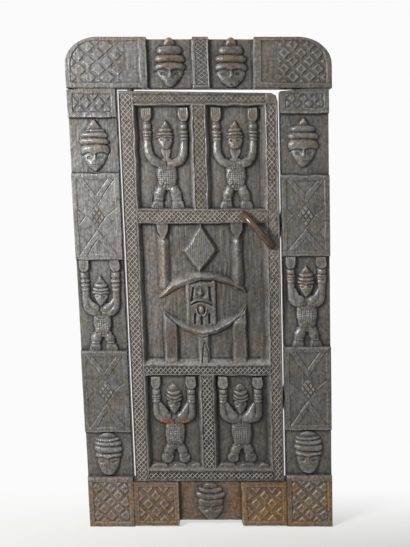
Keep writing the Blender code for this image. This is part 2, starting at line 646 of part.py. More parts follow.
def pintle(up, grow=0.0):
    """A pivot peg driven into the end of the leaf, with a domed tip that turns in the frame."""
    if up:
        start, tip = LEAF_TOP - PINTLE_IN_LEAF, LINTEL_BOTTOM + PINTLE_IN_FRAME
        sign = 1
    else:
        start, tip = LEAF_BOTTOM + PINTLE_IN_LEAF, SILL_TOP - PINTLE_IN_FRAME + FIT
        sign = -1
    return rod((AXIS_X, AXIS_Y, start - sign * grow), (AXIS_X, AXIS_Y, tip), PINTLE_RADIUS + grow,
               sides=24, dome=PINTLE_DOME)


def head_pegs(side):
    middle = side * (HALF_OPENING + HALF_WIDTH) / 2
    return [(middle + step * PEG_SPACING / 2, LINTEL_BOTTOM + HEAD_TENON_LENGTH / 2) for step in (-1, 1)]


def sill_pegs(side):
    x = side * (HALF_OPENING + SILL_TENON_LENGTH / 2)
    middle = sill_tenon_low() + SILL_TENON_HEIGHT / 2
    return [(x, middle + step * PEG_SPACING / 2) for step in (-1, 1)]


def tenon_peg(x, z, grow=0.0):
    back = WALL + CUT_OVER if grow else WALL - PEG_SINK
    return rod((x, WALL - PEG_SINK - PEG_LENGTH - grow, z), (x, back, z), PEG_RADIUS + grow, sides=12)


def peg_holes(places):
    return [tenon_peg(x, z, FIT) for x, z in places]


def stop_peg(z, grow=0.0):
    y = LEAF_BACK + FIT + PEG_RADIUS
    start = HALF_OPENING - (CUT_OVER if grow else STOP_REACH)
    return rod((start, y, z), (HALF_OPENING + STOP_IN_JAMB + grow, y, z), PEG_RADIUS + grow, sides=12)


def handle_feet():
    return ((LEAF_RIGHT - HANDLE_TOP_INSET, LEAF_BOTTOM + HANDLE_TOP_RISE),
            (LEAF_RIGHT - HANDLE_FOOT_INSET, LEAF_BOTTOM + HANDLE_FOOT_RISE))


def make_handle():
    """A bowed grip standing off the leaf, with a round tenon at each foot that runs through the plank."""
    (top_x, top_z), (foot_x, foot_z) = handle_feet()
    start = Vector((top_x, LEAF_FRONT - FIT, top_z))
    end = Vector((foot_x, LEAF_FRONT - FIT, foot_z))
    rise = HANDLE_REACH - HANDLE_RADIUS - FIT
    along = (end - start).normalized()
    side = along.cross(Vector((0, 1, 0)))
    count = 12
    rings = []
    for i in range(count + 1):
        share = i / count
        lift = rise * math.sin(math.pi * share) ** 0.6
        centre = start.lerp(end, share) + Vector((0, -lift, 0))
        slope = Vector((0, -1, 0)) * math.cos(math.pi * share) + along * math.sin(math.pi * share)
        other = slope.normalized().cross(side)
        size = HANDLE_RADIUS * (HANDLE_WAIST + HANDLE_FLARE * abs(2 * share - 1))
        turns = [2 * math.pi * k / 12 for k in range(12)]
        rings.append([centre + (side * math.cos(t) + other * math.sin(t)) * size for t in turns])
    handle = loft(rings)
    tenons = [rod((x, LEAF_FRONT - HANDLE_RADIUS, z), (x, LEAF_BACK, z), HANDLE_TENON_RADIUS)
              for x, z in handle_feet()]
    combine(handle, tenons, "UNION")
    return combine(handle, [wedge(x, z, FIT) for x, z in handle_feet()], "DIFFERENCE")


def wedge(x, z, grow=0.0):
    """A thin wedge driven into the end of a handle tenon from the back."""
    half = HANDLE_TENON_RADIUS + (CUT_OVER if grow else 0.0) - (0.0 if grow else 3 * FIT)
    tip = LEAF_BACK - WEDGE_DEPTH - grow
    end = LEAF_BACK + (CUT_OVER if grow else 0.0)
    return loft([rectangle_at(x, tip, z, half, WEDGE_THICK / 4 + grow),
                 rectangle_at(x, LEAF_BACK, z, half, WEDGE_THICK / 2 + grow)]
                + ([rectangle_at(x, end, z, half, WEDGE_THICK / 2 + grow)] if grow else []))


def rectangle_at(x, y, z, half_width, half_height):
    return [(a, y, b) for a, b in rectangle(x - half_width, x + half_width, z - half_height, z + half_height)]


def main():
    for thing in list(bpy.data.objects):
        bpy.data.objects.remove(thing)
    grey = (0.085, 0.075, 0.066)
    ochre = (0.115, 0.085, 0.060)
    peg_brown = (0.120, 0.082, 0.055)
    grip_brown = (0.150, 0.070, 0.042)

    pivot = bpy.data.objects.new("leaf_pivot", None)
    pivot.location = racked((AXIS_X, AXIS_Y, LEAF_BOTTOM))
    bpy.context.collection.objects.link(pivot)
    bpy.context.view_layer.update()

    finish(make_lintel(), "lintel", grey, 0.70, (0.0, AXIS_Y, LINTEL_BOTTOM))
    finish(make_jamb(-1), "left_jamb", grey, 0.70, (-HALF_OPENING, AXIS_Y, 0.0))
    finish(make_jamb(1), "right_jamb", grey, 0.70, (HALF_OPENING, AXIS_Y, 0.0))
    finish(make_sill(), "sill", ochre, 0.75, (0.0, AXIS_Y, SILL_LIFT))
    hinge = (AXIS_X, AXIS_Y, LEAF_BOTTOM)
    finish(make_leaf(), "leaf", grey, 0.68, hinge, pivot)
    finish(make_handle(), "handle", grip_brown, 0.35, hinge, pivot)
    for name, (x, z) in zip(("upper_handle_wedge", "lower_handle_wedge"), handle_feet()):
        finish(wedge(x, z), name, peg_brown, 0.6, hinge, pivot)
    finish(pintle(True), "upper_pintle", peg_brown, 0.5, hinge, pivot)
    finish(pintle(False), "lower_pintle", peg_brown, 0.5, hinge, pivot)

    stops = (("lower_stop_peg", LOWER_STOP_HEIGHT), ("upper_stop_peg", UPPER_STOP_HEIGHT))
    for name, z in stops:
        finish(stop_peg(z), name, peg_brown, 0.6, (HALF_OPENING, LEAF_BACK, z))
    for word, side in (("left", -1), ("right", 1)):
        for joint, places in (("lintel", head_pegs(side)), ("sill", sill_pegs(side))):
            for label, (x, z) in zip(("a", "b"), places):
                finish(tenon_peg(x, z), f"{joint}_{word}_peg_{label}", peg_brown, 0.6, (x, WALL, z))


main()
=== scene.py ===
# %% [markdown]
# # Dressing a carved door
# The door is an old plank leaf hung in its frame, and every board is cut with heads, figures and diamonds.
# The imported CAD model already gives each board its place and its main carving. This lesson adds what the
# eye looks for next: crisp knife work, worn wood and the light of the photograph.

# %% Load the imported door
import json
import math
from functools import partial

import bmesh
import bpy
import numpy as np
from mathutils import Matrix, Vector
from mathutils.geometry import interpolate_bezier


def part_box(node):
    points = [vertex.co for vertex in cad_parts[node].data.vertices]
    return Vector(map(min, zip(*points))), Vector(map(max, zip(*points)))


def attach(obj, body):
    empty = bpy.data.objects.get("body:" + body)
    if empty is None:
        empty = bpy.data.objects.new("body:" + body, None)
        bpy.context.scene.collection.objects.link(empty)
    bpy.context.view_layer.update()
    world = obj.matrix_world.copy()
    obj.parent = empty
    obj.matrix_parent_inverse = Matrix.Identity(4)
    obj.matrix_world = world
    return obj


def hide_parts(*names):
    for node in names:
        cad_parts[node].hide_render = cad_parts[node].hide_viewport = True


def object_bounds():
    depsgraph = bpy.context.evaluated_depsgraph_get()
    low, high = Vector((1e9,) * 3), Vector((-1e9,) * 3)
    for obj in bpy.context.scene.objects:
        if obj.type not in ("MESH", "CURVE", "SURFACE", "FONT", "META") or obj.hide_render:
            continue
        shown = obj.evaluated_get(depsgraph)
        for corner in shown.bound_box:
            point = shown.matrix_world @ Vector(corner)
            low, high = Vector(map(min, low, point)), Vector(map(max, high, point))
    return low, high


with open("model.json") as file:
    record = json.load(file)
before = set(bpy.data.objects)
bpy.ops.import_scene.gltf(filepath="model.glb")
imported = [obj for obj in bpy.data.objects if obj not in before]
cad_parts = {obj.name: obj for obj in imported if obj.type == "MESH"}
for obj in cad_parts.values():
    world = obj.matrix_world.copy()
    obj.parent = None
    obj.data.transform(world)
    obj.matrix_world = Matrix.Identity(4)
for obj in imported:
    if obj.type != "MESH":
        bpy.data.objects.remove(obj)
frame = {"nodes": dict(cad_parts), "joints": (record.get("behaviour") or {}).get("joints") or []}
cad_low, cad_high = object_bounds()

MM = 0.001
print("CAD box", [round(v, 4) for v in (*cad_low, *cad_high)])

# %% [markdown]
# The frame has sunk sideways on its old joints, so every upright leans by the same small slope while the
# lintel and the sill stay level. That is a shear. Carving is much easier to lay out on square boards, so
# each piece is made square and leaned as its last step. The hinge axis leans with the door and gives the
# slope. The square layout is in millimetres, and a mesh turns to metres when it is written.

# %% Undo the lean
hinge_axis = frame["joints"][0]["axis"]
LEAN = -hinge_axis[0] / hinge_axis[2]
LEAN_LEVEL = cad_high.z / 2 / MM


def leaning(points, sign=1):
    """Lean points of the square layout, or with sign -1 set leaning points square again."""
    moved = np.array(points, dtype=float)
    moved[..., 0] += sign * LEAN * (LEAN_LEVEL - moved[..., 2])
    return moved


def square_box(node):
    """Lowest and highest corner of a CAD node in the square layout, in millimetres."""
    points = leaning(np.array([v.co for v in frame["nodes"][node].data.vertices]) / MM, -1)
    return points.min(axis=0), points.max(axis=0)


lintel_low, lintel_high = square_box("lintel")
leaf_low, leaf_high = square_box("leaf")
left_low, left_high = square_box("left_jamb")
right_low, right_high = square_box("right_jamb")
sill_low, sill_high = square_box("sill")
LEAF_FACE = leaf_low[1]
LEAF_BACK = leaf_high[1]
WALL = lintel_high[1]
print("lean", round(LEAN, 4), "leaf face", round(LEAF_FACE, 1), "wall", round(WALL, 1), "mm")

# %% [markdown]
# Every finish on this door is made with shader nodes and no pictures. Colours are written as the sRGB hex
# codes that a paint program shows, and one function turns them to the linear values that Blender mixes.
# Nodes could be placed by hand in the editor, but a script can be read and run again, so one small function
# adds a node with its settings and links, and a material reads as a list of nodes.

# %% Colours and nodes
def colour(code):
    """An sRGB hex code as linear RGBA."""
    parts = [int(code[i:i + 2], 16) / 255 for i in (0, 2, 4)]
    return [p / 12.92 if p <= 0.04045 else ((p + 0.055) / 1.055) ** 2.4 for p in parts] + [1.0]


def add_node(tree, kind, inputs=None, **settings):
    """Add a node. Settings are its properties; an input takes a value, a socket or a node's first output."""
    node = tree.nodes.new(kind)
    for key, value in settings.items():
        setattr(node, key, value)
    for key, value in (inputs or {}).items():
        if isinstance(value, bpy.types.Node):
            value = next(socket for socket in value.outputs if socket.enabled)
        if isinstance(value, bpy.types.NodeSocket):
            tree.links.new(value, node.inputs[key])
        else:
            node.inputs[key].default_value = value
    return node


def fresh_material(name):
    """An empty material, and the function that adds to its tree."""
    material = bpy.data.materials.new(name)
    material.use_nodes = True
    material.node_tree.nodes.clear()
    return material, partial(add_node, material.node_tree)


print("middle grey in linear light", round(colour("808080")[0], 3))

# %% [markdown]
# Old hardwood that has stood in sun and smoke goes grey on the outside. Hands rub the high places pale and
# a little shiny, soot stays in the cuts, and the wood shows brown where it is worn through. The same dark is
# also painted into the hollows as shade, and the same pale is painted on as highlights where light strikes.
# The pattern is noise at the real sizes of grain and dapple. Four numbers on each vertex, measured from the
# carving later, tell the shader where smoke black and painted shade, rubbing and painted highlights, polish
# and brown wood belong.

# %% Weathered wood
# Sizes in the wood's pattern: a streak across and along the grain, a dapple, a blotch and a patch of hue
STREAK = (2.6 * MM, 34 * MM)
DAPPLE = 11 * MM
BLOTCH = 120 * MM
HUE = 38 * MM


def carved_wood(name, dark, pale, bloom_and_highlight, brown, soot, sheen, turned=False):
    """Carved hardwood gone grey: dappled and faintly streaked, cuts dark with smoke and painted shade, ridges
    pale from rubbing and painted highlights, bare brown wood.
    """
    material, add = fresh_material(name)
    place = add("ShaderNodeTexCoord").outputs["Object"]
    wide, long = 1 / STREAK[0], 1 / STREAK[1]
    scale = (long, wide, wide) if turned else (wide, wide, long)
    stretched = add("ShaderNodeMapping", {"Vector": place, "Scale": scale})
    streak = add("ShaderNodeTexNoise", {"Vector": stretched, "Scale": 1.0, "Detail": 4.0,
                                        "Roughness": 0.55, "Distortion": 0.6})
    dapple = add("ShaderNodeTexNoise", {"Vector": place, "Scale": 1 / DAPPLE, "Detail": 5.0,
                                        "Roughness": 0.62, "Distortion": 0.3})
    blotch = add("ShaderNodeTexNoise", {"Vector": place, "Scale": 1 / BLOTCH, "Detail": 4.0,
                                        "Roughness": 0.6})
    both = add("ShaderNodeMix", {"Factor": 0.62, 2: streak, 3: dapple})
    spread = add("ShaderNodeMapRange", {"Value": both, "From Min": 0.34, "From Max": 0.68})
    patch = add("ShaderNodeMapRange", {"Value": blotch, "From Min": 0.3, "From Max": 0.7,
                                       "To Min": -0.2, "To Max": 0.2})
    tone = add("ShaderNodeMath", {0: spread, 1: patch}, operation="ADD", use_clamp=True)
    hue = add("ShaderNodeTexNoise", {"Vector": place, "Scale": 1 / HUE, "Detail": 3.0, "W": 4.0},
              noise_dimensions="4D")
    mood = add("ShaderNodeMapRange", {"Value": hue, "From Min": 0.38, "From Max": 0.62})
    light = add("ShaderNodeMix", {"Factor": mood, 6: colour(pale[0]), 7: colour(pale[1])},
                data_type="RGBA")
    grey = add("ShaderNodeMix", {"Factor": tone, 6: colour(dark), 7: light}, data_type="RGBA")
    warm = add("ShaderNodeMix", {"Factor": tone, 6: colour(brown[0]), 7: colour(brown[1])},
               data_type="RGBA")
    bare = add("ShaderNodeAttribute", attribute_name="brown").outputs["Fac"]
    ragged = add("ShaderNodeMapRange", {"Value": both, "From Min": 0.36, "From Max": 0.62,
                                        "To Min": 0.5, "To Max": 1.3})
    worn = add("ShaderNodeMath", {0: bare, 1: ragged}, operation="MULTIPLY", use_clamp=True)
    wood = add("ShaderNodeMix", {"Factor": worn, 6: grey, 7: warm}, data_type="RGBA")
    # Rubbed ridges turn pale, and the painted highlights of the pale layer use the same pale colour.
    rubbed = add("ShaderNodeAttribute", attribute_name="rubbed").outputs["Fac"]
    thin = add("ShaderNodeMath", {0: rubbed, 1: spread}, operation="MULTIPLY")
    paler = add("ShaderNodeMix", {"Factor": worn, 6: colour(bloom_and_highlight), 7: colour(brown[2])},
                data_type="RGBA")
    ridge = add("ShaderNodeMix", {"Factor": thin, 6: wood, 7: paler}, data_type="RGBA")
    # This darkening is soot in the cuts and painted shade in the hollows.
    sooty_and_shaded = add("ShaderNodeAttribute", attribute_name="soot").outputs["Fac"]
    final = add("ShaderNodeMix", {"Factor": sooty_and_shaded, 6: ridge, 7: colour(soot)}, data_type="RGBA")
    dull = add("ShaderNodeMapRange", {"Value": both, "From Min": 0.34, "From Max": 0.68,
                                      "To Min": sheen + 0.2, "To Max": sheen})
    polish = add("ShaderNodeAttribute", attribute_name="polish").outputs["Fac"]
    handled = add("ShaderNodeMath", {0: rubbed, 1: polish}, operation="ADD", use_clamp=True)
    shine = add("ShaderNodeMath", {0: handled, 1: -0.25, 2: dull}, operation="MULTIPLY_ADD")
    bump = add("ShaderNodeBump", {"Height": both, "Strength": 0.64, "Distance": 2.4 * MM})
    shader = add("ShaderNodeBsdfPrincipled", {"Base Color": final, "Normal": bump, "Roughness": shine,
                                              "IOR": 1.5})
    add("ShaderNodeOutputMaterial", {"Surface": shader})
    return material


# Nearly black-brown under a dry grey bloom, dappled like old leather; rubbed places catch the light, and the
# painted highlights take the same pale grey.
uprights_wood = carved_wood("weathered_iroko_adzed_upright", "332E29", ("6E6F70", "70695F"), "989898",
                            ("432F1E", "85653F", "B08C5A"), "0F0C0A", 0.38)
# The same wood with its grain running across, as in a lintel or a sill.
crossways_wood = carved_wood("weathered_iroko_adzed_level", "332E29", ("6E6F70", "70695F"), "989898",
                             ("4C3520", "946E42", "C09A62"), "0F0C0A", 0.38, turned=True)
print("materials", uprights_wood.name, crossways_wood.name)

# %% [markdown]
# A carver works down from a flat face, so every place on the front has exactly one depth. A grid of depths
# can hold that: columns run across the board, rows run up it, and each value is how far back the wood
# begins. It could be sculpted by hand or cut with Booleans, but a grid takes any number of strokes in the
# order in which a knife makes them, and soot, painted shade and wear can be measured from it afterwards.

# %% A grid of depths
GRID = 1.5


def between(values, i, j, smooth=False):
    """Values between the points of a grid, at broken row and column numbers."""
    row, column = i.astype(int), j.astype(int)
    up, across = i - row, j - column
    if smooth:
        up, across = (share * share * (3 - 2 * share) for share in (up, across))
    lower = values[row, column] * (1 - across) + values[row, column + 1] * across
    upper = values[row + 1, column] * (1 - across) + values[row + 1, column + 1] * across
    return lower * (1 - up) + upper * up


class Relief:
    """The front of a board. y[row, column] is where the wood begins; its three colour layers hold worn brown
    wood, pale weathering with painted highlights, and dark stains with painted shade.
    """

    def __init__(self, left, right, low, high, face):
        self.x = np.linspace(left, right, int((right - left) / GRID) + 2)
        self.z = np.linspace(low, high, int((high - low) / GRID) + 2)
        self.y = np.full((len(self.z), len(self.x)), float(face))
        self.brown, self.pale, self.grime_and_shade = (np.zeros_like(self.y) for layer in range(3))

    def window(self, left, right, low, high):
        """The cells inside a rectangle, with their x as a row and their z as a column."""
        rows = slice(*np.searchsorted(self.z, (low, high)))
        columns = slice(*np.searchsorted(self.x, (left, right)))
        return (rows, columns), self.x[columns][None, :], self.z[rows][:, None]

    def read(self, values, x, z):
        """Values between the grid points."""
        j = np.clip((x - self.x[0]) / (self.x[1] - self.x[0]), 0, len(self.x) - 1.001)
        i = np.clip((z - self.z[0]) / (self.z[1] - self.z[0]), 0, len(self.z) - 1.001)
        return between(values, i, j)


def uneven(board, wide, tall, seed):
    """Smooth random values from -1 to 1 in patches of the given size."""
    rng = np.random.default_rng(seed)
    across = (board.x - board.x[0]) / wide
    up = (board.z - board.z[0]) / tall
    knots = rng.uniform(-1, 1, (int(up[-1]) + 2, int(across[-1]) + 2))
    return between(knots, up[:, None], across[None, :], smooth=True)


def softened(values, radius):
    """A blur by running means, twice each way."""
    size = max(1, round(radius / GRID))
    for axis in (0, 1, 0, 1):
        pad = [(size + 1, size) if a == axis else (0, 0) for a in (0, 1)]
        total = np.cumsum(np.pad(values, pad, mode="edge"), axis=axis)
        ends = np.take(total, range(2 * size + 1, total.shape[axis]), axis=axis)
        starts = np.take(total, range(total.shape[axis] - 2 * size - 1), axis=axis)
        values = (ends - starts) / (2 * size + 1)
    return values


print("grid pitch", GRID, "mm")

# %% [markdown]
# Five cuts make the whole door. A stroke leaves a raised band along a line, a groove cuts one, a plateau
# leaves a flat form standing, a pocket sinks a panel and a dish presses a hollow. Each works only on the
# few cells it touches, which keeps thousands of cuts quick.

# %% The carver's cuts
def bent(start, first, second, end, count=14):
    """Points along a Bezier curve."""
    knots = [Vector((x, z, 0)) for x, z in (start, first, second, end)]
    return [(p.x, p.y) for p in interpolate_bezier(*knots, count)]


def near_line(board, points, widths):
    """Cells near a line: how far off they are as a share of the half width, and how far along it."""
    points = np.array(points, dtype=float)
    widths = np.broadcast_to(np.array(widths, dtype=float), len(points))
    edge = widths.max()
    (left, low), (right, high) = points.min(axis=0) - edge, points.max(axis=0) + edge
    area, x, z = board.window(left, right, low, high)
    off = np.full((z.shape[0], x.shape[1]), np.inf)
    place = np.zeros_like(off)
    for i in range(len(points) - 1):
        ax, az = points[i]
        dx, dz = points[i + 1] - points[i]
        t = np.clip(((x - ax) * dx + (z - az) * dz) / max(dx * dx + dz * dz, 1e-6), 0, 1)
        width = widths[i] + (widths[i + 1] - widths[i]) * t
        ratio = np.hypot(x - ax - t * dx, z - az - t * dz) / np.maximum(width, 1e-3)
        closer = ratio < off
        off = np.where(closer, ratio, off)
        place = np.where(closer, i + t, place)
    return area, off, place


def stroke(board, points, widths, heights, floor, crown=2.0):
    """Leave a band standing. crown 2 is round in section, and larger is flatter."""
    area, off, place = near_line(board, points, widths)
    heights = np.broadcast_to(np.array(heights, dtype=float), len(points))
    rise = np.interp(place, range(len(points)), heights) * np.clip(1 - off ** crown, 0, 1) ** (1 / crown)
    board.y[area] = np.where(off < 1, np.minimum(board.y[area], floor - rise), board.y[area])


def groove(board, points, width, depth):
    """Cut a V along a line into whatever stands there."""
    area, off, place = near_line(board, points, width / 2)
    board.y[area] += depth * np.clip(1 - off, 0, 1)


def plateau(board, outline, floor, height, draft=1.5):
    """Leave a convex form standing, with sloped sides and a flat top."""
    outline = np.array(outline, dtype=float)
    (left, low), (right, high) = outline.min(axis=0), outline.max(axis=0)
    area, x, z = board.window(left, right, low, high)
    middle = outline.mean(axis=0)
    inside = np.full((z.shape[0], x.shape[1]), np.inf)
    for (ax, az), (bx, bz) in zip(outline, np.roll(outline, -1, axis=0)):
        length = math.hypot(bx - ax, bz - az)
        normal = np.array((az - bz, bx - ax)) / length
        if (middle - (ax, az)) @ normal < 0:
            normal = -normal
        inside = np.minimum(inside, (x - ax) * normal[0] + (z - az) * normal[1])
    share = np.clip(inside / draft, 0, 1)
    board.y[area] = np.where(inside > 0, np.minimum(board.y[area], floor - height * share), board.y[area])


def pocket(board, left, right, low, high, floor, walls):
    """Sink a panel. walls gives the widths of the sloped sides: left, right, foot, head."""
    area, x, z = board.window(left, right, low, high)
    share = np.minimum(np.minimum((x - left) / walls[0], (right - x) / walls[1]),
                       np.minimum((z - low) / walls[2], (high - z) / walls[3]))
    board.y[area] += (floor - board.y[area]) * np.clip(share, 0, 1)


def round_patch(board, x, z, wide, tall):
    """The cells round a place, and a share that falls from 1 there to 0 at the rim."""
    area, px, pz = board.window(x - wide, x + wide, z - tall, z + tall)
    return area, np.clip(1 - ((px - x) / wide) ** 2 - ((pz - z) / tall) ** 2, 0, 1)


def dish(board, x, z, wide, tall, depth):
    """Press a round hollow, or with a negative depth leave a boss."""
    area, share = round_patch(board, x, z, wide, tall)
    board.y[area] += depth * share


def rub(board, layer, x, z, wide, tall, amount):
    """Colour a round patch: brown is wood worn bare, pale is dry weathering in some places and a painted
    highlight in others, and the dark layer is smoke stain in some places and painted shade in others.
    """
    area, share = round_patch(board, x, z, wide, tall)
    values = getattr(board, layer)
    values[area] = np.maximum(values[area], amount * share ** 0.7)


print("five cuts ready")

# %% [markdown]
# The capped head comes seven times on the frame and once on every figure. It is a stack of rounded rings on
# a dome, over a face that narrows to the chin, with a brow that arches over each eye and runs down into a
# short broad nose. It could be drawn stroke by stroke, but its rings follow a rule, so it is shaped from
# shares of its own width and height and fits any bay.

# %% The capped head
# Each ring: where it ends down the head, how far it reaches across and how high it stands
LINTEL_CAP = ((0.170, 0.36, 0.64), (0.346, 0.77, 0.84), (0.500, 0.96, 0.94), (0.665, 1.00, 1.00))
JAMB_CAP = ((0.180, 0.52, 0.66), (0.230, 0.80, 0.74), (0.345, 0.93, 0.88),
            (0.475, 1.00, 0.97), (0.670, 0.99, 1.00))
SMALL_CAP = ((0.150, 0.34, 0.60), (0.285, 0.83, 0.82), (0.430, 1.00, 0.95), (0.650, 1.00, 1.00))
FOOT_CAP = ((0.135, 0.62, 0.64), (0.215, 0.86, 0.78), (0.330, 0.95, 0.90),
            (0.485, 1.00, 0.98), (0.605, 0.96, 1.00))
SILL_CAP = ((0.155, 0.50, 0.55), (0.290, 0.80, 0.76), (0.440, 1.00, 1.00), (0.645, 0.85, 0.88))
FIGURE_CAP = ((0.260, 0.60, 0.74), (0.405, 0.80, 0.88), (0.520, 0.94, 0.95), (0.620, 1.00, 1.00))
SQUAT_CAP = ((0.250, 0.72, 0.48), (0.400, 0.88, 0.90), (0.520, 0.98, 0.96), (0.620, 1.00, 1.00))
# Widths of the face from brow to chin, and how high it stands there
FACE_ROWS = (0.0, 0.1, 0.3, 0.55, 0.8, 0.93, 1.0)
LONG_FACE = (0.82, 0.84, 0.77, 0.60, 0.37, 0.22, 0.06)
BROAD_FACE = (0.88, 0.90, 0.86, 0.72, 0.46, 0.28, 0.08)
ROUND_FACE = (0.84, 0.86, 0.85, 0.79, 0.64, 0.47, 0.16)
FULL_FACE = (0.80, 0.81, 0.77, 0.68, 0.54, 0.40, 0.14)
LONG_LIFTS = (0.50, 0.56, 0.70, 0.76, 0.70, 0.54, 0.30)
ROUND_LIFTS = (0.60, 0.68, 0.80, 0.88, 0.88, 0.80, 0.62)


def capped_head(board, x, top, width, height, floor, relief, rings, outline=LONG_FACE, lifts=LONG_LIFTS,
                sag=0.02, cone=0.0, worn=1.0):
    """One head. sag bends the rings' ends down; cone 0 gives the cap a domed tip and 1 a pointed one."""
    half = width / 2
    area, px, pz = board.window(x - 1.02 * half, x + 1.02 * half, top - height, top + GRID)
    across = (px - x) / half
    down = (top - pz) / height + 0 * across
    level = down - sag * across ** 2
    brow = rings[-1][0]
    arch = 0.036 * np.clip(1 - ((np.abs(across) - 0.46) / 0.42) ** 2, 0, 1)
    wide = np.full(down.shape, 0.02)
    lift = np.zeros_like(down)
    start = 0.0
    for end, reach, high in rings:
        lowest = end - arch if end == brow else end
        q = np.clip((level - start) / (lowest - start), 0, 1)
        here = (level >= start) & (level < lowest)
        if start == 0.0:
            spread = reach * (cone * q + (1 - cone) * np.sqrt(np.clip(1 - (1 - q) ** 2, 0, 1)))
            roll = np.clip(np.sin(np.pi * (0.12 + 0.84 * q)), 0, 1)
        else:
            roll = np.clip(np.sin(np.pi * q), 0, 1) ** 0.6
            spread = reach * (0.79 + 0.21 * roll)
        if end == brow:
            roll = np.where(q > 0.5, 1 - 0.22 * (2 * q - 1) ** 2, roll)
        wide = np.where(here, spread, wide)
        lift = np.where(here, high * (0.55 + 0.45 * roll), lift)
        start = end
    q = np.clip((down - brow) / (1 - brow), 0, 1)
    face = level >= brow - arch
    wide = np.where(face, np.interp(q, FACE_ROWS, outline), wide)
    lift = np.where(face, np.interp(q, FACE_ROWS, lifts), lift)
    off = np.abs(across) / np.maximum(wide, 0.02)
    rise = relief * lift * np.clip(1 - off ** 2.4, 0, 1) ** 0.5
    board.y[area] = np.where(off < 1, np.minimum(board.y[area], floor - rise), board.y[area])

    def row(share):
        return top - (brow + share * (1 - brow)) * height

    nose = [(x, row(s)) for s in (-0.03, 0.13, 0.29)]
    stroke(board, nose, [half * s for s in (0.11, 0.16, 0.21)], [relief * s for s in (0.77, 0.82, 0.87)],
           floor, 2.4)
    mouth = [(x - 0.16 * half, row(0.62)), (x + 0.16 * half, row(0.62))]
    stroke(board, mouth, 0.08 * half, relief * 0.80, floor)
    groove(board, mouth, 0.06 * half, relief * 0.14)
    for side in (-1, 1):
        eye = (x + side * 0.42 * half, row(0.19))
        dish(board, *eye, 0.21 * half, 0.034 * height, relief * 0.24)
        dish(board, *eye, 0.09 * half, 0.014 * height, -relief * 0.10)
        line = bent((x + side * 0.05 * half, row(-0.02)), (x + side * 0.22 * half, row(-0.16)),
                    (x + side * 0.66 * half, row(-0.16)), (x + side * 0.92 * half, row(0.08)))
        groove(board, line, 3.6, relief * 0.15)
    rub(board, "brown", x, top - 0.09 * height, half * 0.42, height * 0.12, 0.60 * worn)
    rub(board, "brown", x, top - 0.45 * height, half * 0.95, height * 0.24, 0.50 * worn)


print("rings on a lintel head", len(LINTEL_CAP), "and on a jamb head", len(JAMB_CAP))

# %% [markdown]
# Six figures stand with both hands raised above a capped head. Each hand is a flat fan with finger cuts,
# and below it come a narrow wrist, two bracelets and a smooth tube of an arm that swings in to the
# shoulder. The belly is cross-hatched with the knife tip and the feet have toes. One function with a table
# of sizes in millimetres makes them all, because the carver clearly used one pattern too.

# %% Sizes of the figures
# In millimetres from the finger tips down. The hand is an outline, and the other rows end in half width and
# height
FIGURE_ROWS = 344
ARM_REACH = 63
HAND = ((-18.5, 0), (18.5, 0), (20.5, 27), (19, 37), (14.5, 45),
        (7.5, 50.5), (-7.5, 50.5), (-14.5, 45), (-19, 37), (-20.5, 27))
FINGER_CUTS = (-10.2, -3.4, 3.4, 10.2)
TOE_CUTS = (-10, -3.3, 3.3, 10)
ARM = ((63, 108, 14.5, 12.5), (63.5, 132, 15.3, 14), (62, 150, 16, 15), (56, 167, 16.5, 16.5),
       (45, 181, 17, 17.5), (29, 189, 16.5, 17.5), (13, 189, 13.5, 15), (3, 186, 9, 12))
NECK = ((136, 17.5, 6), (148, 17.5, 7), (160, 14, 8), (171, 8.5, 8.5), (182, 2, 8))
TORSO = ((199, 29, 13), (212, 32.5, 16.5), (230, 33, 18.5), (246, 29.5, 17.5), (257, 23, 15), (266, 13, 11))
THIGH = ((15, 266, 13.5, 12), (20, 276, 18, 15.5), (26, 292, 20, 17), (29, 306, 17.5, 14))
FOOT = ((29, 317, 16.5, 12.5), (31, 328, 20, 12), (33, 340, 22.5, 10))
# Cuff and bracelets: where each lies down the arm, half its length and half its width
BRACELETS = ((65, 8.5, 15.5), (84, 5.0, 17.2), (95, 4.5, 16.6), (106, 5.0, 16.0))
BRACELET_RISE = 15.5
# The heights of the table's rows, and what differs between the kinds of figure: those heights, the head's
# top, chin and width, its face, cap and tip, the bend of its rings, the row of the belly, how far elbows and
# legs come in, the stain on the hands, how brown the rest is worn, and the rows of a swelling chest
ROW_MARKS = (0, 51, 72, 116, 140, 190, 206, 263, 306, 344)
LEAF_FIGURE = dict(
    marks=ROW_MARKS, head=(44, 140, 61), face=ROUND_FACE, cap=FIGURE_CAP, cone=0.85, sag=0.02,
    belly=(238, 26), tuck=0, legs=1.0, hands=("brown", 0.22), worn=0.5, chest=())
LEFT_FIGURE = dict(
    marks=(0, 48, 64, 126, 165, 198, 214, 272, 306, 344), head=(60, 174, 62), face=LONG_FACE, cap=FIGURE_CAP,
    cone=0.85, sag=-0.03, belly=(240, 24), tuck=3, legs=0.92, hands=("pale", 0.2), worn=0.15,
    chest=((53, 130, 8, 12), (42, 146, 13, 15), (27, 166, 18, 18)))
RIGHT_FIGURE = dict(
    marks=(0, 50, 64, 104, 152, 178, 194, 266, 309, 344), head=(34, 152, 64), face=LONG_FACE, cap=FIGURE_CAP,
    cone=0.85, sag=-0.03, belly=(226, 22), tuck=3, legs=0.88, hands=("pale", 0.1), worn=0.55,
    chest=((51, 128, 9, 12), (42, 143, 14, 16), (30, 163, 20, 19)))
SQUAT_FIGURE = dict(
    marks=(2, 52, 65, 105, 138, 166, 188, 258, 296, 310), head=(32, 142, 60), face=LONG_FACE, cap=SQUAT_CAP,
    cone=0.3, sag=-0.09, belly=(232, 23), tuck=0, legs=0.85, hands=("pale", 0.5), worn=0.25,
    chest=((49, 118, 8, 12), (43, 129, 13, 16), (36, 144, 18, 19), (30, 166, 23, 20)))
print("figure rows", len(ARM), len(NECK), len(TORSO), len(THIGH), len(FOOT))

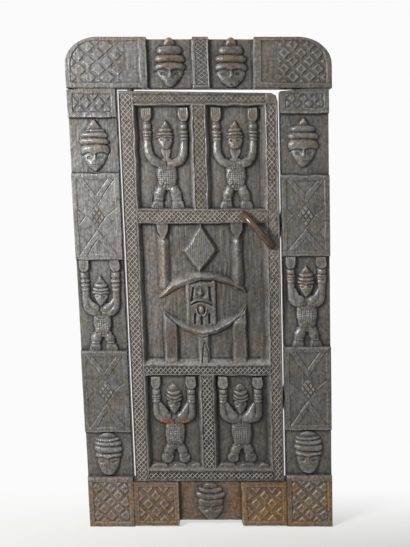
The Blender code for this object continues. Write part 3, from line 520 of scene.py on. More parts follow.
# %% [markdown]
# A figure is cut in the order in which its forms overlap: body, arms, neck, head and legs. Each limb is one
# stroke along the rows of its table, so a thick upper arm runs smoothly into a thin wrist. The heights are
# stretched between the marks of its kind, which lets one pattern fill a low panel or a tall one.

# %% The standing figure
def table_stroke(board, rows, place, floor, crown=2.0, stout=1.0):
    """A stroke along table rows."""
    stroke(board, [place(*row[:-2]) for row in rows], [row[-2] * stout for row in rows],
           [row[-1] for row in rows], floor, crown)


def bead(board, x, z, wide, tall, height, floor):
    """A ring round a limb, seen from the front."""
    area, px, pz = board.window(x - wide, x + wide, z - tall, z + tall)
    rise = height * np.sqrt(1 - ((px - x) / wide) ** 2) * (0.8 + 0.2 * np.sqrt(1 - ((pz - z) / tall) ** 2))
    board.y[area] = np.minimum(board.y[area], floor - rise)


def raised_arm(board, at, floor, worn):
    """Hand, cuff, bracelets and the arm on one side."""
    stroke(board, [at(ARM_REACH, 50), at(ARM_REACH, 112)], 14, [8.5, 12], floor)
    table_stroke(board, ARM, at, floor)
    plateau(board, [(at(ARM_REACH, down)[0] + side, at(ARM_REACH, down)[1]) for side, down in HAND], floor,
            14, 3.5)
    for down, tall, wide in BRACELETS:
        bead(board, *at(ARM_REACH, down), wide, tall, BRACELET_RISE, floor)
    (top_x, top_z), (low_x, low_z) = at(ARM_REACH, -2), at(ARM_REACH, 27)
    for finger in FINGER_CUTS:
        groove(board, [(top_x + finger, top_z), (low_x + finger * 0.85, low_z)], 2.8, 1.4)
    rub(board, "brown", *at(ARM_REACH, 86), 22, 26, 0.44 * worn)


def hatched_belly(board, x, z, wide, tall):
    """Knife-tip lines up and across a belly."""
    for share in np.arange(-wide + 4.1, wide, 8.2):
        reach = tall * math.sqrt(1 - (share / wide) ** 2)
        groove(board, [(x + share, z - reach), (x + share, z + reach)], 3.0, 2.0)
    for share in np.arange(-tall + 3.4, tall, 6.8):
        reach = wide * math.sqrt(1 - (share / tall) ** 2)
        groove(board, [(x - reach, z + share), (x + reach, z + share)], 3.0, 2.2)


def standing_figure(board, x, top, height, reach, floor, kind, stout=1.0):
    """A figure that fills the height given; its hands reach out from the middle."""
    tall = height / FIGURE_ROWS

    def lower(down):
        return top - tall * np.interp(down, ROW_MARKS, kind["marks"])

    def middle(down):
        return x, lower(down)

    table_stroke(board, TORSO, middle, floor, crown=3.0, stout=stout)
    belly, half = kind["belly"]
    hatched_belly(board, x - 2, lower(belly), 27 * stout, half * tall)
    for side in (-1, 1):
        def limb(out, down):
            tuck = kind["tuck"] * np.interp(down, (116, 150, 183, 189), (0, 1, 1, 0))
            return x + side * (out - tuck) * reach / ARM_REACH, lower(down)

        raised_arm(board, limb, floor, kind["worn"])
        if kind["chest"]:
            table_stroke(board, kind["chest"], limb, floor, crown=2.4)
        rub(board, kind["hands"][0], *limb(ARM_REACH, 26), 24, 38, kind["hands"][1])
    groove(board, [middle(182), middle(200)], 4, 4)
    for side in (-1, 1):
        groove(board, bent(middle(208), (x + side * 20, lower(210)), (x + side * 32, lower(206)),
                           (x + side * 46, lower(196))), 4, 2.5)
    table_stroke(board, NECK, middle, floor, crown=5.0)
    tip, chin, wide = kind["head"]
    capped_head(board, x, top - tip * tall, wide, (chin - tip) * tall, floor, 17, kind["cap"], kind["face"],
                ROUND_LIFTS, kind["sag"], kind["cone"], kind["worn"])
    rub(board, "pale", x, lower(belly), 24 * stout, half * tall, 0.5)
    rub(board, "brown", x, lower(125), 34, 26, 0.4 * kind["worn"])
    rub(board, "brown", x, lower(192), 60, 20, 0.3 * kind["worn"])
    rub(board, "brown", x, lower(252), 32, 20, 0.12)
    for side in (-1, 1):
        def at(out, down):
            return x + side * out * stout * kind["legs"], lower(down)

        table_stroke(board, THIGH, at, floor)
        groove(board, [at(2, 262), at(32, 268)], 4, 3)
        stroke(board, [at(16, 311), at(41, 312)], 3.8, 15, floor)
        table_stroke(board, FOOT, at, floor, crown=3.0)
        groove(board, [at(10, 318), at(48, 319)], 3.4, 3)
        for toe in TOE_CUTS:
            groove(board, [(at(32, 0)[0] + toe * 0.8, lower(329)), (at(32, 0)[0] + toe * 1.2, lower(352))],
                   2.8, 2.2)


print("arms reach", ARM_REACH, "mm to each side")

# %% [markdown]
# The plain blocks between the bays carry two patterns. Diamond fields are staggered rows cut in from a rim,
# some with flat tops and some hollowed in the middle. Crossed blocks have a lozenge in the middle and
# grooves that run on from its sides to the corners. A staggered row is easy to find by rounding: every cell
# asks which diamond's middle is nearest and how far off that is.

# %% Diamond fields and crossed blocks
RIM = 16.6
FIELD = 3.6


def edge_distance(x, z, left, right, low, high):
    """How far inside a rectangle each cell lies."""
    return np.minimum(np.minimum(x - left, right - x), np.minimum(z - low, high - z))


def diamonds(board, area, x, z, inside, floor, middle, half_pitch, half_size, hollow):
    """Staggered diamonds over the cells of a field, cut off at its edge."""
    u = (x - middle[0]) / half_pitch[0]
    v = (z - middle[1]) / half_pitch[1]
    p = np.rint((u + v) / 2)
    q = np.rint((u - v) / 2)
    off = (np.abs(u - p - q) * half_pitch[0] / half_size[0]
           + np.abs(v - p + q) * half_pitch[1] / half_size[1])
    steep = min(half_size) / 3.2
    lift = np.clip((1 - off) * steep, 0, 1)
    if hollow:
        lift -= hollow * np.clip((0.5 - off) * steep, 0, 1)
    lift = lift * np.clip(inside / 2, 0, 1)
    board.y[area] = np.minimum(board.y[area], floor - FIELD * 0.92 * lift)


def diamond_block(board, left, right, low, high, face, half_pitch, half_size, hollow=0.0, shift=(0, 0)):
    """A rim, a sunk field and its diamonds."""
    edges = (left + RIM, right - RIM, low + RIM, high - RIM)
    pocket(board, *edges, face + FIELD, (2.5,) * 4)
    area, x, z = board.window(*edges)
    middle = ((left + right) / 2 + shift[0], (low + high) / 2 + shift[1])
    inside = edge_distance(x, z, *edges) - 2
    diamonds(board, area, x, z, inside, face + FIELD, middle, half_pitch, half_size, hollow)


LOZENGE = (30, 43)


def crossed_block(board, left, right, low, high, face):
    """A studded lozenge with crossing bands that run out to the corners."""
    left, right, low, high = left + RIM, right - RIM, low + RIM, high - RIM
    x, z = (left + right) / 2, (low + high) / 2
    wide, tall = LOZENGE
    floor = face + 2.6
    pocket(board, left, right, low, high, floor, (2.5,) * 4)
    tips = {1: z + tall, -1: z - tall}
    lines = [[(left, low), (left, high)]]
    for up, edge, notch in ((1, high, 25), (-1, low, 28)):
        tip = tips[up]
        inner = (x, tip + up * 33)
        for side, wall in ((-1, left), (1, right)):
            band = [(wall, edge), (wall - side * notch, edge), inner, (x, tip)]
            plateau(board, band, floor, 2.2, 1.2)
            lines.append([(wall, edge), (x, tip), (x - side * wide, z)])
            lines.append([(wall - side * notch, edge), inner])
        across = 12
        rise = across * abs(edge - tip) / (x - left)
        elbow = (tip + inner[1]) / 2 + up * rise
        plateau(board, [(x, tip), (x + across, elbow), inner, (x - across, elbow)], floor, 2.2, 1.2)
    plateau(board, [(x - wide, z), (x, z - tall), (x + wide, z), (x, z + tall)], floor, 1.0, 1.2)
    for wall, tip, up, down in ((left, left + 26, 27, 29), (right, x + wide, 33, 20)):
        wedge = [(wall, z + up), (tip, z), (wall, z - down)]
        plateau(board, wedge, floor, 1.9, 1.2)
        lines.append(wedge)
    for line in lines:
        groove(board, line, 4.4, 1.5)


print("rim", RIM, "mm, field depth", FIELD, "mm")

# %% [markdown]
# A carved front becomes a solid board by adding a plain back and four sides. The front has a vertex every
# millimetre and a half and the back only needs a few, so the sides fan from many front vertices to few back
# ones. Arrays go into a mesh in one call each, which is far quicker than adding faces one by one.

# %% From arrays to meshes
def triangle_mesh(name, points, triangles):
    """A mesh from arrays."""
    mesh = bpy.data.meshes.new(name)
    mesh.vertices.add(len(points))
    mesh.vertices.foreach_set("co", (points * MM).astype(np.float32).ravel())
    mesh.loops.add(triangles.size)
    mesh.loops.foreach_set("vertex_index", triangles.astype(np.int32).ravel())
    mesh.polygons.add(len(triangles))
    mesh.polygons.foreach_set("loop_start", np.arange(0, triangles.size, 3, dtype=np.int32))
    mesh.update(calc_edges=True)
    return mesh


def sheet_triangles(numbers, front):
    """Two triangles for every cell of a grid of vertex numbers, facing the front or the back."""
    a, b = numbers[:-1, :-1].ravel(), numbers[:-1, 1:].ravel()
    c, d = numbers[1:, 1:].ravel(), numbers[1:, :-1].ravel()
    both = np.concatenate((np.stack((a, b, c), 1), np.stack((a, c, d), 1)))
    return both if front else both[:, ::-1]


def side_triangles(front, picks, back):
    """A fan between a line of front vertices and the few back vertices behind its picks."""
    made = []
    for k in range(len(picks) - 1):
        for i in range(picks[k], picks[k + 1]):
            made.append((front[i + 1], front[i], back[k]))
        made.append((front[picks[k + 1]], back[k], back[k + 1]))
    return made


def plain_mesh(thing):
    """The evaluated mesh of an object, which then loses its modifiers."""
    graph = bpy.context.evaluated_depsgraph_get()
    mesh = bpy.data.meshes.new_from_object(thing.evaluated_get(graph))
    mesh.name = thing.name
    thing.modifiers.clear()
    thing.data = mesh
    return mesh


def link(name, mesh, material):
    """A new object at the origin."""
    thing = bpy.data.objects.new(name, mesh)
    bpy.context.scene.collection.objects.link(thing)
    mesh.materials.clear()
    mesh.materials.append(material)
    return thing


print("mesh helpers ready")

# %% [markdown]
# Soot, painted shade and rubbing follow from the carving itself. A cell that lies deeper than its
# surroundings is a cut or a hollow and is darkened, partly as soot and partly as painted shade; one that
# stands proud is rubbed. Two surroundings are asked, a narrow one for knife cuts and a broad one for whole
# forms. A knife in a free hand never runs quite straight either, so every carved line is let stray by up
# to two millimetres.

# %% Wear and a free hand
# How far round it a cell is compared, for cuts and for whole forms
CUT_REACH, FORM_REACH = 4, 18
WAVER = 2.0
STILL_EDGE = 20


def wear_maps(board):
    """Darkness in the cuts and hollows, part smoke black and part painted shade, and rubbing on the ridges,
    from how each cell lies among its neighbours; the pale layer adds painted highlights and the dark layer
    its stains and painted shade.
    """
    fine = board.y - softened(board.y, CUT_REACH)
    broad = board.y - softened(board.y, FORM_REACH)
    patchy = 1 + 0.35 * uneven(board, 45, 60, 5)
    # Darker where a cell lies below its neighbours: soot in the cuts, painted shade in the hollows.
    soot = np.clip(fine / 2.6, 0, 1) * 0.50 + np.clip(broad / 8, 0, 1) * 0.46
    polish = np.clip(-broad / 9, 0, 1)
    # The pale layer's painted highlights join the rubbing here.
    rubbed = np.clip(-fine / 1.6, 0, 1) * 0.68 + polish * 0.06 + board.pale
    return {"soot": np.clip(soot * patchy + board.grime_and_shade, 0, 0.92), "rubbed": np.clip(rubbed * patchy, 0, 1),
            "polish": polish}


def wander(board, seed):
    """Let every carved line stray a little, but keep the outline."""
    edge = np.minimum(np.minimum(board.x - board.x[0], board.x[-1] - board.x)[None, :],
                      np.minimum(board.z - board.z[0], board.z[-1] - board.z)[:, None])
    reach = WAVER * np.clip(edge / STILL_EDGE, 0, 1)
    x = board.x[None, :] + reach * uneven(board, 30, 40, seed + 4)
    z = board.z[:, None] + reach * uneven(board, 40, 30, seed + 5)
    board.y, board.brown, board.pale, board.grime_and_shade = (
        board.read(layer, x, z) for layer in (board.y, board.brown, board.pale, board.grime_and_shade))


print("lines stray by up to", WAVER, "mm")

# %% [markdown]
# Now a grid can become a board. Its arris is rounded by wear, and the back shows the adze in slow dents.
# Decimate spends the triangles where the carving bends and saves them on the flats. Last, each vertex asks
# the grid how dark it is with soot and painted shade, how pale with rubbing and painted highlights, and how
# brown it is, because the material reads that from the mesh.

# %% From grid to board
ARRIS = 3.0
BACK_STEP = 7
ADZE_DENT = 0.9
# Depth, width and length of the knife's marks
TOOL_MARKS = ((0.38, 5, 38), (0.42, 9, 11))
SHARP_ANGLE = math.radians(42)
FRONT_BAND = 2.5


def close_board(board, low, high, back, seed):
    """Points and triangles of a board: the front with its worn arris, the adzed back and the sides."""
    rows, columns = board.y.shape
    x = np.broadcast_to(board.x, (rows, columns))
    foot, head = low(board.x), high(board.x)
    z = foot + (head - foot) * np.linspace(0, 1, rows)[:, None]
    y = board.read(board.y, x, z)
    slope = np.hypot(1, np.gradient(head, board.x))
    inside = np.minimum(np.minimum(x - board.x[0], board.x[-1] - x), np.minimum(z - foot, (head - z) / slope))
    arris = ARRIS * (1 + 0.55 * board.read(uneven(board, 22, 30, seed + 2), x, z))
    short = np.clip(arris - inside, 0, arris)
    y = y + arris - np.sqrt(np.clip(arris ** 2 - short ** 2, 0, None))
    front = np.arange(rows * columns).reshape(rows, columns)
    up = sorted({*range(0, rows, BACK_STEP), rows - 1})
    over = sorted({*range(0, columns, BACK_STEP), columns - 1})
    few = np.ix_(up, over)
    behind = (rows * columns + np.arange(len(up) * len(over))).reshape(len(up), len(over))
    deep = back - ADZE_DENT * (1 + uneven(board, 60, 24, seed + 3)[few]) * 0.5
    points = np.concatenate((np.stack((x, y, z), -1).reshape(-1, 3),
                             np.stack((x[few], deep, z[few]), -1).reshape(-1, 3)))
    sides = (side_triangles(front[0], over, behind[0])
             + side_triangles(front[-1][::-1], [columns - 1 - j for j in over[::-1]], behind[-1][::-1])
             + side_triangles(front[:, -1], up, behind[:, -1])
             + side_triangles(front[::-1, 0], [rows - 1 - i for i in up[::-1]], behind[::-1, 0]))
    sheets = (sheet_triangles(front, True), sheet_triangles(behind, False))
    return points, np.concatenate((*sheets, np.array(sides)))


def make_board(name, board, low, high, back, goal, material, seed):
    """Turn a carved grid into a board that leans, thinned to about goal triangles, with its wear."""
    wander(board, seed)
    board.y += sum(depth * uneven(board, wide, tall, seed + number)
                   for number, (depth, wide, tall) in enumerate(TOOL_MARKS))
    wear = wear_maps(board)
    points, triangles = close_board(board, low, high, back, seed)
    thing = link(name, triangle_mesh(name, leaning(points), triangles), material)
    thin = thing.modifiers.new("thin", "DECIMATE")
    thin.ratio = min(1.0, goal / len(triangles))
    mesh = plain_mesh(thing)
    mesh.shade_smooth()
    mesh.set_sharp_from_angle(angle=SHARP_ANGLE)
    co = np.zeros(len(mesh.vertices) * 3, np.float32)
    mesh.vertices.foreach_get("co", co)
    x, y, z = leaning(co.reshape(-1, 3) / MM, -1).T
    face = y < board.read(board.y, x, z) + FRONT_BAND
    values = {layer: board.read(cells, x, z) * face for layer, cells in wear.items()}
    # The sides and the back are darkened a little too.
    values["soot"] += 0.12 * ~face
    values["brown"] = board.read(board.brown, x, z) * (0.4 + 0.6 * face)
    for layer, numbers in values.items():
        mesh.attributes.new(layer, "FLOAT", "POINT").data.foreach_set("value", numbers.astype(np.float32))
    print(name, len(triangles), "triangles thinned to", len(mesh.polygons))
    return thing


def level(height):
    """A straight edge for make_board."""
    return lambda x: np.full(len(x), float(height))


print("arris", ARRIS, "mm, adze dents", ADZE_DENT, "mm")

# %% [markdown]
# The lintel is one broad plank with rounded shoulders. Two sunk bays hold a head each, the narrow block
# between them is hatched, and each end has a diamond field inside a rim that follows the round shoulder.

# %% Carve the lintel
LINTEL_FACE = LEAF_FACE - 8
BAY = 15
HEAD_RELIEF = 20
SHOULDER = (115, 91)
LINTEL_HEAD = (110, 167)
KNOB = LINTEL_CAP[0][1] * LINTEL_HEAD[0] / 2
LINTEL_LEFT, LINTEL_FOOT = lintel_low[0], lintel_low[2] + 3.5
LINTEL_RIGHT, LINTEL_TOP = lintel_high[0], lintel_high[2]
LINTEL_BAYS = ((LINTEL_LEFT + 278, LINTEL_LEFT + 433), (LINTEL_LEFT + 489, LINTEL_LEFT + 641))


def lintel_edge(x):
    """The top outline, rounded at both ends and lower over the bays, where the knobs stand out."""
    into = np.clip(np.maximum(LINTEL_LEFT + SHOULDER[0] - x, x - LINTEL_RIGHT + SHOULDER[0]), 0, SHOULDER[0])
    top = LINTEL_TOP - SHOULDER[1] * (1 - np.sqrt(1 - (into / SHOULDER[0]) ** 2))
    for start, end in LINTEL_BAYS:
        off = np.clip(np.abs(x - (start + end) / 2) / KNOB, 0, 1)
        knob = LINTEL_TOP - LINTEL_CAP[0][0] * LINTEL_HEAD[1] * (1 - np.sqrt(1 - off ** 2))
        low = np.maximum(LINTEL_TOP - 6, knob)
        top = np.where((x > start) & (x < end), np.minimum(top, low), top)
    return top


def lintel_inside(x, z):
    """How far inside the lintel's outline each cell lies, with a narrower rim along the top."""
    roof = LINTEL_TOP + 6
    into = np.maximum(LINTEL_LEFT + SHOULDER[0] - x, x - LINTEL_RIGHT + SHOULDER[0])
    above = z - roof + SHOULDER[1]
    q = np.hypot(np.clip(into, 0, None) / SHOULDER[0], np.clip(above, 0, None) / SHOULDER[1])
    round_end = np.where((into > 0) & (above > 0), (1 - q) * sum(SHOULDER) / 2, np.inf)
    return np.minimum(round_end, edge_distance(x, z, LINTEL_LEFT, LINTEL_RIGHT, LINTEL_FOOT, roof))


lintel = Relief(LINTEL_LEFT, LINTEL_RIGHT, LINTEL_FOOT, LINTEL_TOP, LINTEL_FACE)
OPEN_WALL = 1000
for (start, end), outline in zip(LINTEL_BAYS, (LONG_FACE, BROAD_FACE)):
    pocket(lintel, start, end, LINTEL_FOOT - OPEN_WALL, LINTEL_TOP + OPEN_WALL, LINTEL_FACE + BAY,
           (3, 4, OPEN_WALL, OPEN_WALL))
    capped_head(lintel, (start + end) / 2, LINTEL_TOP, *LINTEL_HEAD, LINTEL_FACE + BAY, HEAD_RELIEF,
                LINTEL_CAP, outline, worn=0.75)
    rub(lintel, "grime_and_shade", (start + end) / 2, LINTEL_TOP - LINTEL_HEAD[1] / 2, 70, 100, 0.3)
for start, end, first, last, middle, pitch, size, hollow in (
        (LINTEL_LEFT, -195, LINTEL_LEFT, -246, (-336, 1695.5), (32, 25.8), (23, 21.8), 0.0),
        (218, LINTEL_RIGHT, 276, LINTEL_RIGHT, (298.6, 1699), (28.6, 26.3), (21.6, 20.4), 0.7)):
    area, x, z = lintel.window(start, end, LINTEL_FOOT, LINTEL_TOP)
    rim = np.minimum(lintel_inside(x, z) - RIM, np.minimum(x - start, end - x))
    lintel.y[area] += FIELD * np.clip(rim / 2.5, 0, 1)
    rows = np.minimum(rim - 2, 0.13 * np.minimum(x - first, last - x))
    diamonds(lintel, area, x, z, rows, LINTEL_FACE + FIELD, middle, np.array(pitch), np.array(size), hollow)
LINTEL_HATCH = (-5, 36, LINTEL_FOOT + 9, LINTEL_TOP - 9)
pocket(lintel, *LINTEL_HATCH, LINTEL_FACE + 3.4, (1.5,) * 4)
# Stains: layer, middle, half width, half height and strength
for stain in (("brown", 0, LINTEL_TOP, 500, 30, 0.30),
              ("brown", 340, LINTEL_FOOT + 80, 220, 200, 0.10),
              ("grime_and_shade", 340, LINTEL_FOOT + 80, 220, 200, 0.07),
              # The pale patch at the left end is a painted highlight.
              ("pale", -360, LINTEL_FOOT + 100, 200, 120, 0.30)):
    rub(lintel, *stain)
lintel_board = make_board("lintel_carved", lintel, level(LINTEL_FOOT), lintel_edge, WALL, 118000,
                          crossways_wood, seed=11)

# %% [markdown]
# Each jamb is one tall plank with the same seven bands: diamond block, head, crossed block, figure, crossed
# block, head and a small diamond block under the lintel. The bays are cut right across, and the feet have
# worn down to brown wood where they stood in the wet. One loop makes both sides, with the right figure a
# little broader, as the carver left it.

# %% Carve the jambs
JAMB_FACE = LEAF_FACE - 4
# For each side: its edges, where its bands begin, the heads (down from the bay's top, off the middle, width
# and height), the upper head's cap, the figure, the diamonds of the top block (half pitch, half size and
# shift) and of the foot (half pitch), the slant of its top edge (run and fall), its wear, the strength of
# its painted highlight and its stain
LEFT_SIDE = dict(
    name="left_jamb_carved", edges=(left_low[0], left_high[0]), rows=(0, 189, 363, 663, 994, 1293, 1486),
    heads=((8, 3, 102, 176), (4, -4, 104, 160)), cap=JAMB_CAP, figure=LEFT_FIGURE, stout=1.0,
    top=((23.1, 28), (17, 21), (30.2, 0)), foot=26.6, slant=(45, 5), brown=0.72, bloom_and_highlight=0.55,
    stain=(-24, 117, 20, 0.45))
RIGHT_SIDE = dict(
    name="right_jamb_carved", edges=(right_low[0], right_high[0]), rows=(0, 195, 371, 677, 1006, 1287, 1500),
    heads=((16, -5, 106, 168), (6, -2, 105, 160)), cap=SMALL_CAP, figure=RIGHT_FIGURE, stout=1.12,
    top=((19.6, 17), (13.5, 13), (-1.8, 7)), foot=28.0, slant=(100, 10), brown=1.0, bloom_and_highlight=0.0,
    stain=(2, 105, 34, 0.22))
JAMB_REACH = 54
jamb_boards = []
for side in (LEFT_SIDE, RIGHT_SIDE):
    outer, inner = side["edges"]
    rows = [*side["rows"], LINTEL_FOOT - 0.3]
    jamb = Relief(outer, inner, rows[0], rows[7], JAMB_FACE)
    middle = (outer + inner) / 2
    floor = JAMB_FACE + BAY
    for low, high in (rows[1:3], rows[3:5], rows[5:7]):
        pocket(jamb, outer - OPEN_WALL, inner + OPEN_WALL, low, high, floor, (OPEN_WALL, OPEN_WALL, 4, 3))
    for high, (under, off, across, tall), *looks in (
            (rows[6], side["heads"][0], side["cap"], LONG_FACE, LONG_LIFTS, 0.02, 0.55, 0.42),
            (rows[2], side["heads"][1], FOOT_CAP, FULL_FACE, ROUND_LIFTS, -0.03, 0.0, 0.15)):
        capped_head(jamb, middle + off, high - under, across, tall, floor, HEAD_RELIEF, *looks)
    standing_figure(jamb, middle - 1.5, rows[4], rows[4] - rows[3], JAMB_REACH, floor, side["figure"],
                    side["stout"])
    diamond_block(jamb, outer, inner, rows[0], rows[1], JAMB_FACE, (side["foot"], 26.6), (20.5, 20.5), 0.5)
    for low, high in (rows[2:4], rows[4:6]):
        crossed_block(jamb, outer, inner, low, high, JAMB_FACE)
    half_pitch, half_size, shift = side["top"]
    diamond_block(jamb, outer, inner, rows[6], rows[7], JAMB_FACE, half_pitch, half_size, shift=shift)
    across, down, size, amount = side["stain"]
    rub(jamb, "brown", middle + across, rows[2] - down, size, size, amount)
    # A pale patch over the upper crossed block is a painted highlight; the right jamb has none.
    rub(jamb, "pale", middle, 1170, 130, 340, side["bloom_and_highlight"])
    rub(jamb, "pale", middle, 100, 130, 140, 0.30)
    if side is RIGHT_SIDE:
        # A dark strip along the bay's edge beside the leaf is a painted shadow, cast by the leaf's edge.
        rub(jamb, "grime_and_shade", outer, (rows[3] + rows[4]) / 2, 18, 190, 0.85)
    worn = np.clip((rows[1] + 14 - jamb.z) / 60, 0, 1)[:, None] * side["brown"]
    jamb.brown = np.maximum(jamb.brown, worn * (0.75 + 0.45 * uneven(jamb, 40, 50, 7)))
    jamb.brown[jamb.window(outer + RIM, inner - RIM, rows[0] + RIM, rows[1] - RIM)[0]] *= 0.7
    run, fall = side["slant"]
    head_edge = lambda x: rows[7] - fall * np.clip(1 - (x - outer) / run, 0, 1)
    jamb_boards.append(make_board(side["name"], jamb, level(rows[0]), head_edge, WALL, 150000, uprights_wood,
                                  seed=21))

# %% [markdown]
# The sill closes the frame at the foot. Its ends are diamond blocks and the sunk middle holds one more
# head, whose chin hangs just clear of the ground. Feet and rain have taken almost all of its grey away.

# %% Carve the sill
SILL_FACE = LEAF_FACE - 6
SILL_FOOT, SILL_TOP = sill_low[2], sill_high[2]
SILL_LEFT, SILL_RIGHT = left_high[0] + 0.3, right_low[0] - 0.3
SILL_INNER = (SILL_LEFT + 164, SILL_RIGHT - 164)
sill = Relief(SILL_LEFT, SILL_RIGHT, SILL_FOOT, SILL_TOP, SILL_FACE)
pocket(sill, *SILL_INNER, SILL_FOOT - OPEN_WALL, SILL_TOP + OPEN_WALL, SILL_FACE + BAY,
       (3, 4, OPEN_WALL, OPEN_WALL))
capped_head(sill, 0, SILL_TOP - 3, 110, 146, SILL_FACE + BAY, 18, SILL_CAP, sag=-0.05, worn=0.1)
rub(sill, "grime_and_shade", 0, SILL_TOP - 70, 75, 100, 0.3)
for start, end in ((SILL_LEFT, SILL_INNER[0]), (SILL_INNER[1], SILL_RIGHT)):
    diamond_block(sill, start, end, SILL_FOOT, SILL_TOP, SILL_FACE, (29.6, 31), (20, 22.5), 0.5,
                  shift=(29, 0))
sill.brown = np.maximum(sill.brown, np.interp(sill.x, (SILL_LEFT, 0, SILL_RIGHT), (0.7, 0.6, 1.3))[None, :]
                        * (0.8 + 0.35 * uneven(sill, 40, 40, 8)))
area, x, z = sill.window(-80, 80, SILL_FOOT, SILL_TOP)
sill.brown[area] *= 1 - 0.6 * np.clip(1.2 - (x / 75) ** 2 - ((z - SILL_TOP + 70) / 95) ** 2, 0, 1)
sill_foot = lambda x: SILL_FOOT + 16 * ((x > SILL_INNER[0]) & (x < SILL_INNER[1]))
sill_board = make_board("sill_carved", sill, sill_foot, level(SILL_TOP), WALL, 74000, crossways_wood, seed=31)

# %% [markdown]
# The leaf is one thick plank with five sunk panels. Four hold a figure. The middle one is a composition of
# its own: a lozenge, two posts with flared tops, an arch, a bowl on three legs and a small round-bellied
# figure in the niche between. The flat bands round the panels are sunk by a knife's depth, ready for the
# hatching that the next step lays into them.

# %% Carve the leaf
PANEL_FLOOR = LEAF_FACE + 20
LEAF_LEFT, LEAF_FOOT = leaf_low[0], leaf_low[2]
LEAF_RIGHT, LEAF_TOP = leaf_high[0], leaf_high[2] + 3.5
LEAF_EDGE, LEAF_HEAD = LEAF_RIGHT + 3, LEAF_TOP + 2
PANEL_LEFT, PANEL_RIGHT = LEAF_LEFT + 49, LEAF_RIGHT - 40
MULLION = (LEAF_LEFT + 249.5, LEAF_LEFT + 295.5)
LOWER = (LEAF_FOOT + 45, LEAF_FOOT + 399)
MIDDLE = (LEAF_FOOT + 437, LEAF_FOOT + 947)
UPPER = (LEAF_FOOT + 994, LEAF_TOP - 46)
UPPER_FIGURES = (LEAF_LEFT + 156, LEAF_LEFT + 396)
LOWER_FIGURES = (LEAF_LEFT + 151, LEAF_LEFT + 393)
# The ledge at the foot of a lower panel: where each lump begins and ends across it
LEDGE = ((0.04, 0.38), (0.42, 0.72), (0.75, 0.98))
leaf = Relief(LEAF_LEFT, LEAF_EDGE, LEAF_FOOT, LEAF_HEAD, LEAF_FACE)
pocket(leaf, PANEL_LEFT, PANEL_RIGHT, *MIDDLE, PANEL_FLOOR, (13, 18, 20, 6))
for start, end, walls, upper, lower in (
        (PANEL_LEFT, MULLION[0], (13, 13), UPPER_FIGURES[0], LOWER_FIGURES[0]),
        (MULLION[1], PANEL_RIGHT, (14, 18), UPPER_FIGURES[1], LOWER_FIGURES[1])):
    pocket(leaf, start, end, *LOWER, PANEL_FLOOR, (*walls, 20, 6))
    pocket(leaf, start, end, *UPPER, PANEL_FLOOR, (*walls, 7, 6))
    standing_figure(leaf, upper, UPPER[1] - 6, UPPER[1] - UPPER[0] - 8, ARM_REACH, PANEL_FLOOR, LEAF_FIGURE,
                    1.1)
    standing_figure(leaf, lower, LOWER[1] - 4, FIGURE_ROWS, ARM_REACH, PANEL_FLOOR, SQUAT_FIGURE, 1.12)
    for first, last in LEDGE:
        a, b = start + first * (end - start), start + last * (end - start)
        lump = [(a, 0), (b, 0), (b - 3, 19), (b - 14, 24), (a + 14, 24), (a + 3, 17)]
        plateau(leaf, [(x, LOWER[0] + up) for x, up in lump], PANEL_FLOOR, 13, 6)
# The dark patches darken the right side and the foot of the panels. The pale patches are painted highlights:
# over the middle rail below the upper panels, on the chest of the lower right figure, and on the shaded left
# walls of the upper panels.
stains = [("grime_and_shade", PANEL_RIGHT - 60, LOWER[0] + 120, 190, 260, 0.28),
          ("grime_and_shade", LOWER_FIGURES[0], LOWER[0] + 150, 130, 220, 0.16),
          ("grime_and_shade", PANEL_RIGHT - 15, UPPER[0] + 220, 80, 210, 0.24),
          ("pale", LEAF_LEFT + 225, UPPER[0] + 40, 120, 110, 0.4)]
for side in (-1, 1):
    stains += [("brown", LOWER_FIGURES[0] + side * 30, LOWER[1] - 172, 27, 22, 1.0),
               ("pale", LOWER_FIGURES[1] + side * 25, LOWER[1] - 150, 24, 26, 0.9),
               ("pale", LOWER_FIGURES[0] + 30 + side * 120, UPPER[0] + 130, 40, 170, 0.4)]
for stain in stains:
    rub(leaf, *stain)
print("panels", [round(v) for v in (PANEL_LEFT, *MULLION, PANEL_RIGHT)])

# %% [markdown]
# The middle panel is laid out in shares of its own width and height, measured from its middle and its top.
# The forms overlap as the carver left them, with the arch over the posts and the bowl over its legs, so
# they are cut in that order. Rows of upright gouge marks fill the plain ground.

# %% Carve the middle panel
PANEL_MIDDLE = LEAF_LEFT + 271.5
PANEL_HALF = 214.5
# Rows: across, down, half width and height
ARCH = ((-0.733, 0.518, 3, 9), (-0.640, 0.487, 13, 15), (-0.532, 0.449, 20, 17), (-0.330, 0.404, 23, 18),
        (-0.042, 0.371, 18.5, 18), (0.188, 0.376, 18, 18), (0.447, 0.411, 17, 17), (0.648, 0.459, 10, 15),
        (0.695, 0.484, 3, 9))
BOWL = ((-0.662, 0.622, 3, 9), (-0.474, 0.694, 14, 15), (-0.330, 0.728, 18, 17), (-0.042, 0.768, 21, 18),
        (0.159, 0.750, 21, 18), (0.418, 0.700, 19, 18), (0.576, 0.644, 12, 16), (0.692, 0.578, 3, 9))
POST = ((0.085, 16, 10), (0.13, 21, 15.5), (0.30, 23, 17), (0.43, 22, 16))
# The legs under the bowl: left and right edge, and where these begin
LEGS = ((-0.705, -0.44, 0.605, 0.71), (-0.13, 0.08, 0.77, 0.77), (0.44, 0.715, 0.69, 0.57))
# The flared top of a post: across and down
CUP = ((-0.115, -0.01), (0.115, -0.01), (0.10, 0.055), (0.02, 0.118), (-0.02, 0.118), (-0.10, 0.055))


def spot(across, down):
    """A place in the panel."""
    return (PANEL_MIDDLE + across * PANEL_HALF, MIDDLE[1] - down * (MIDDLE[1] - MIDDLE[0]))


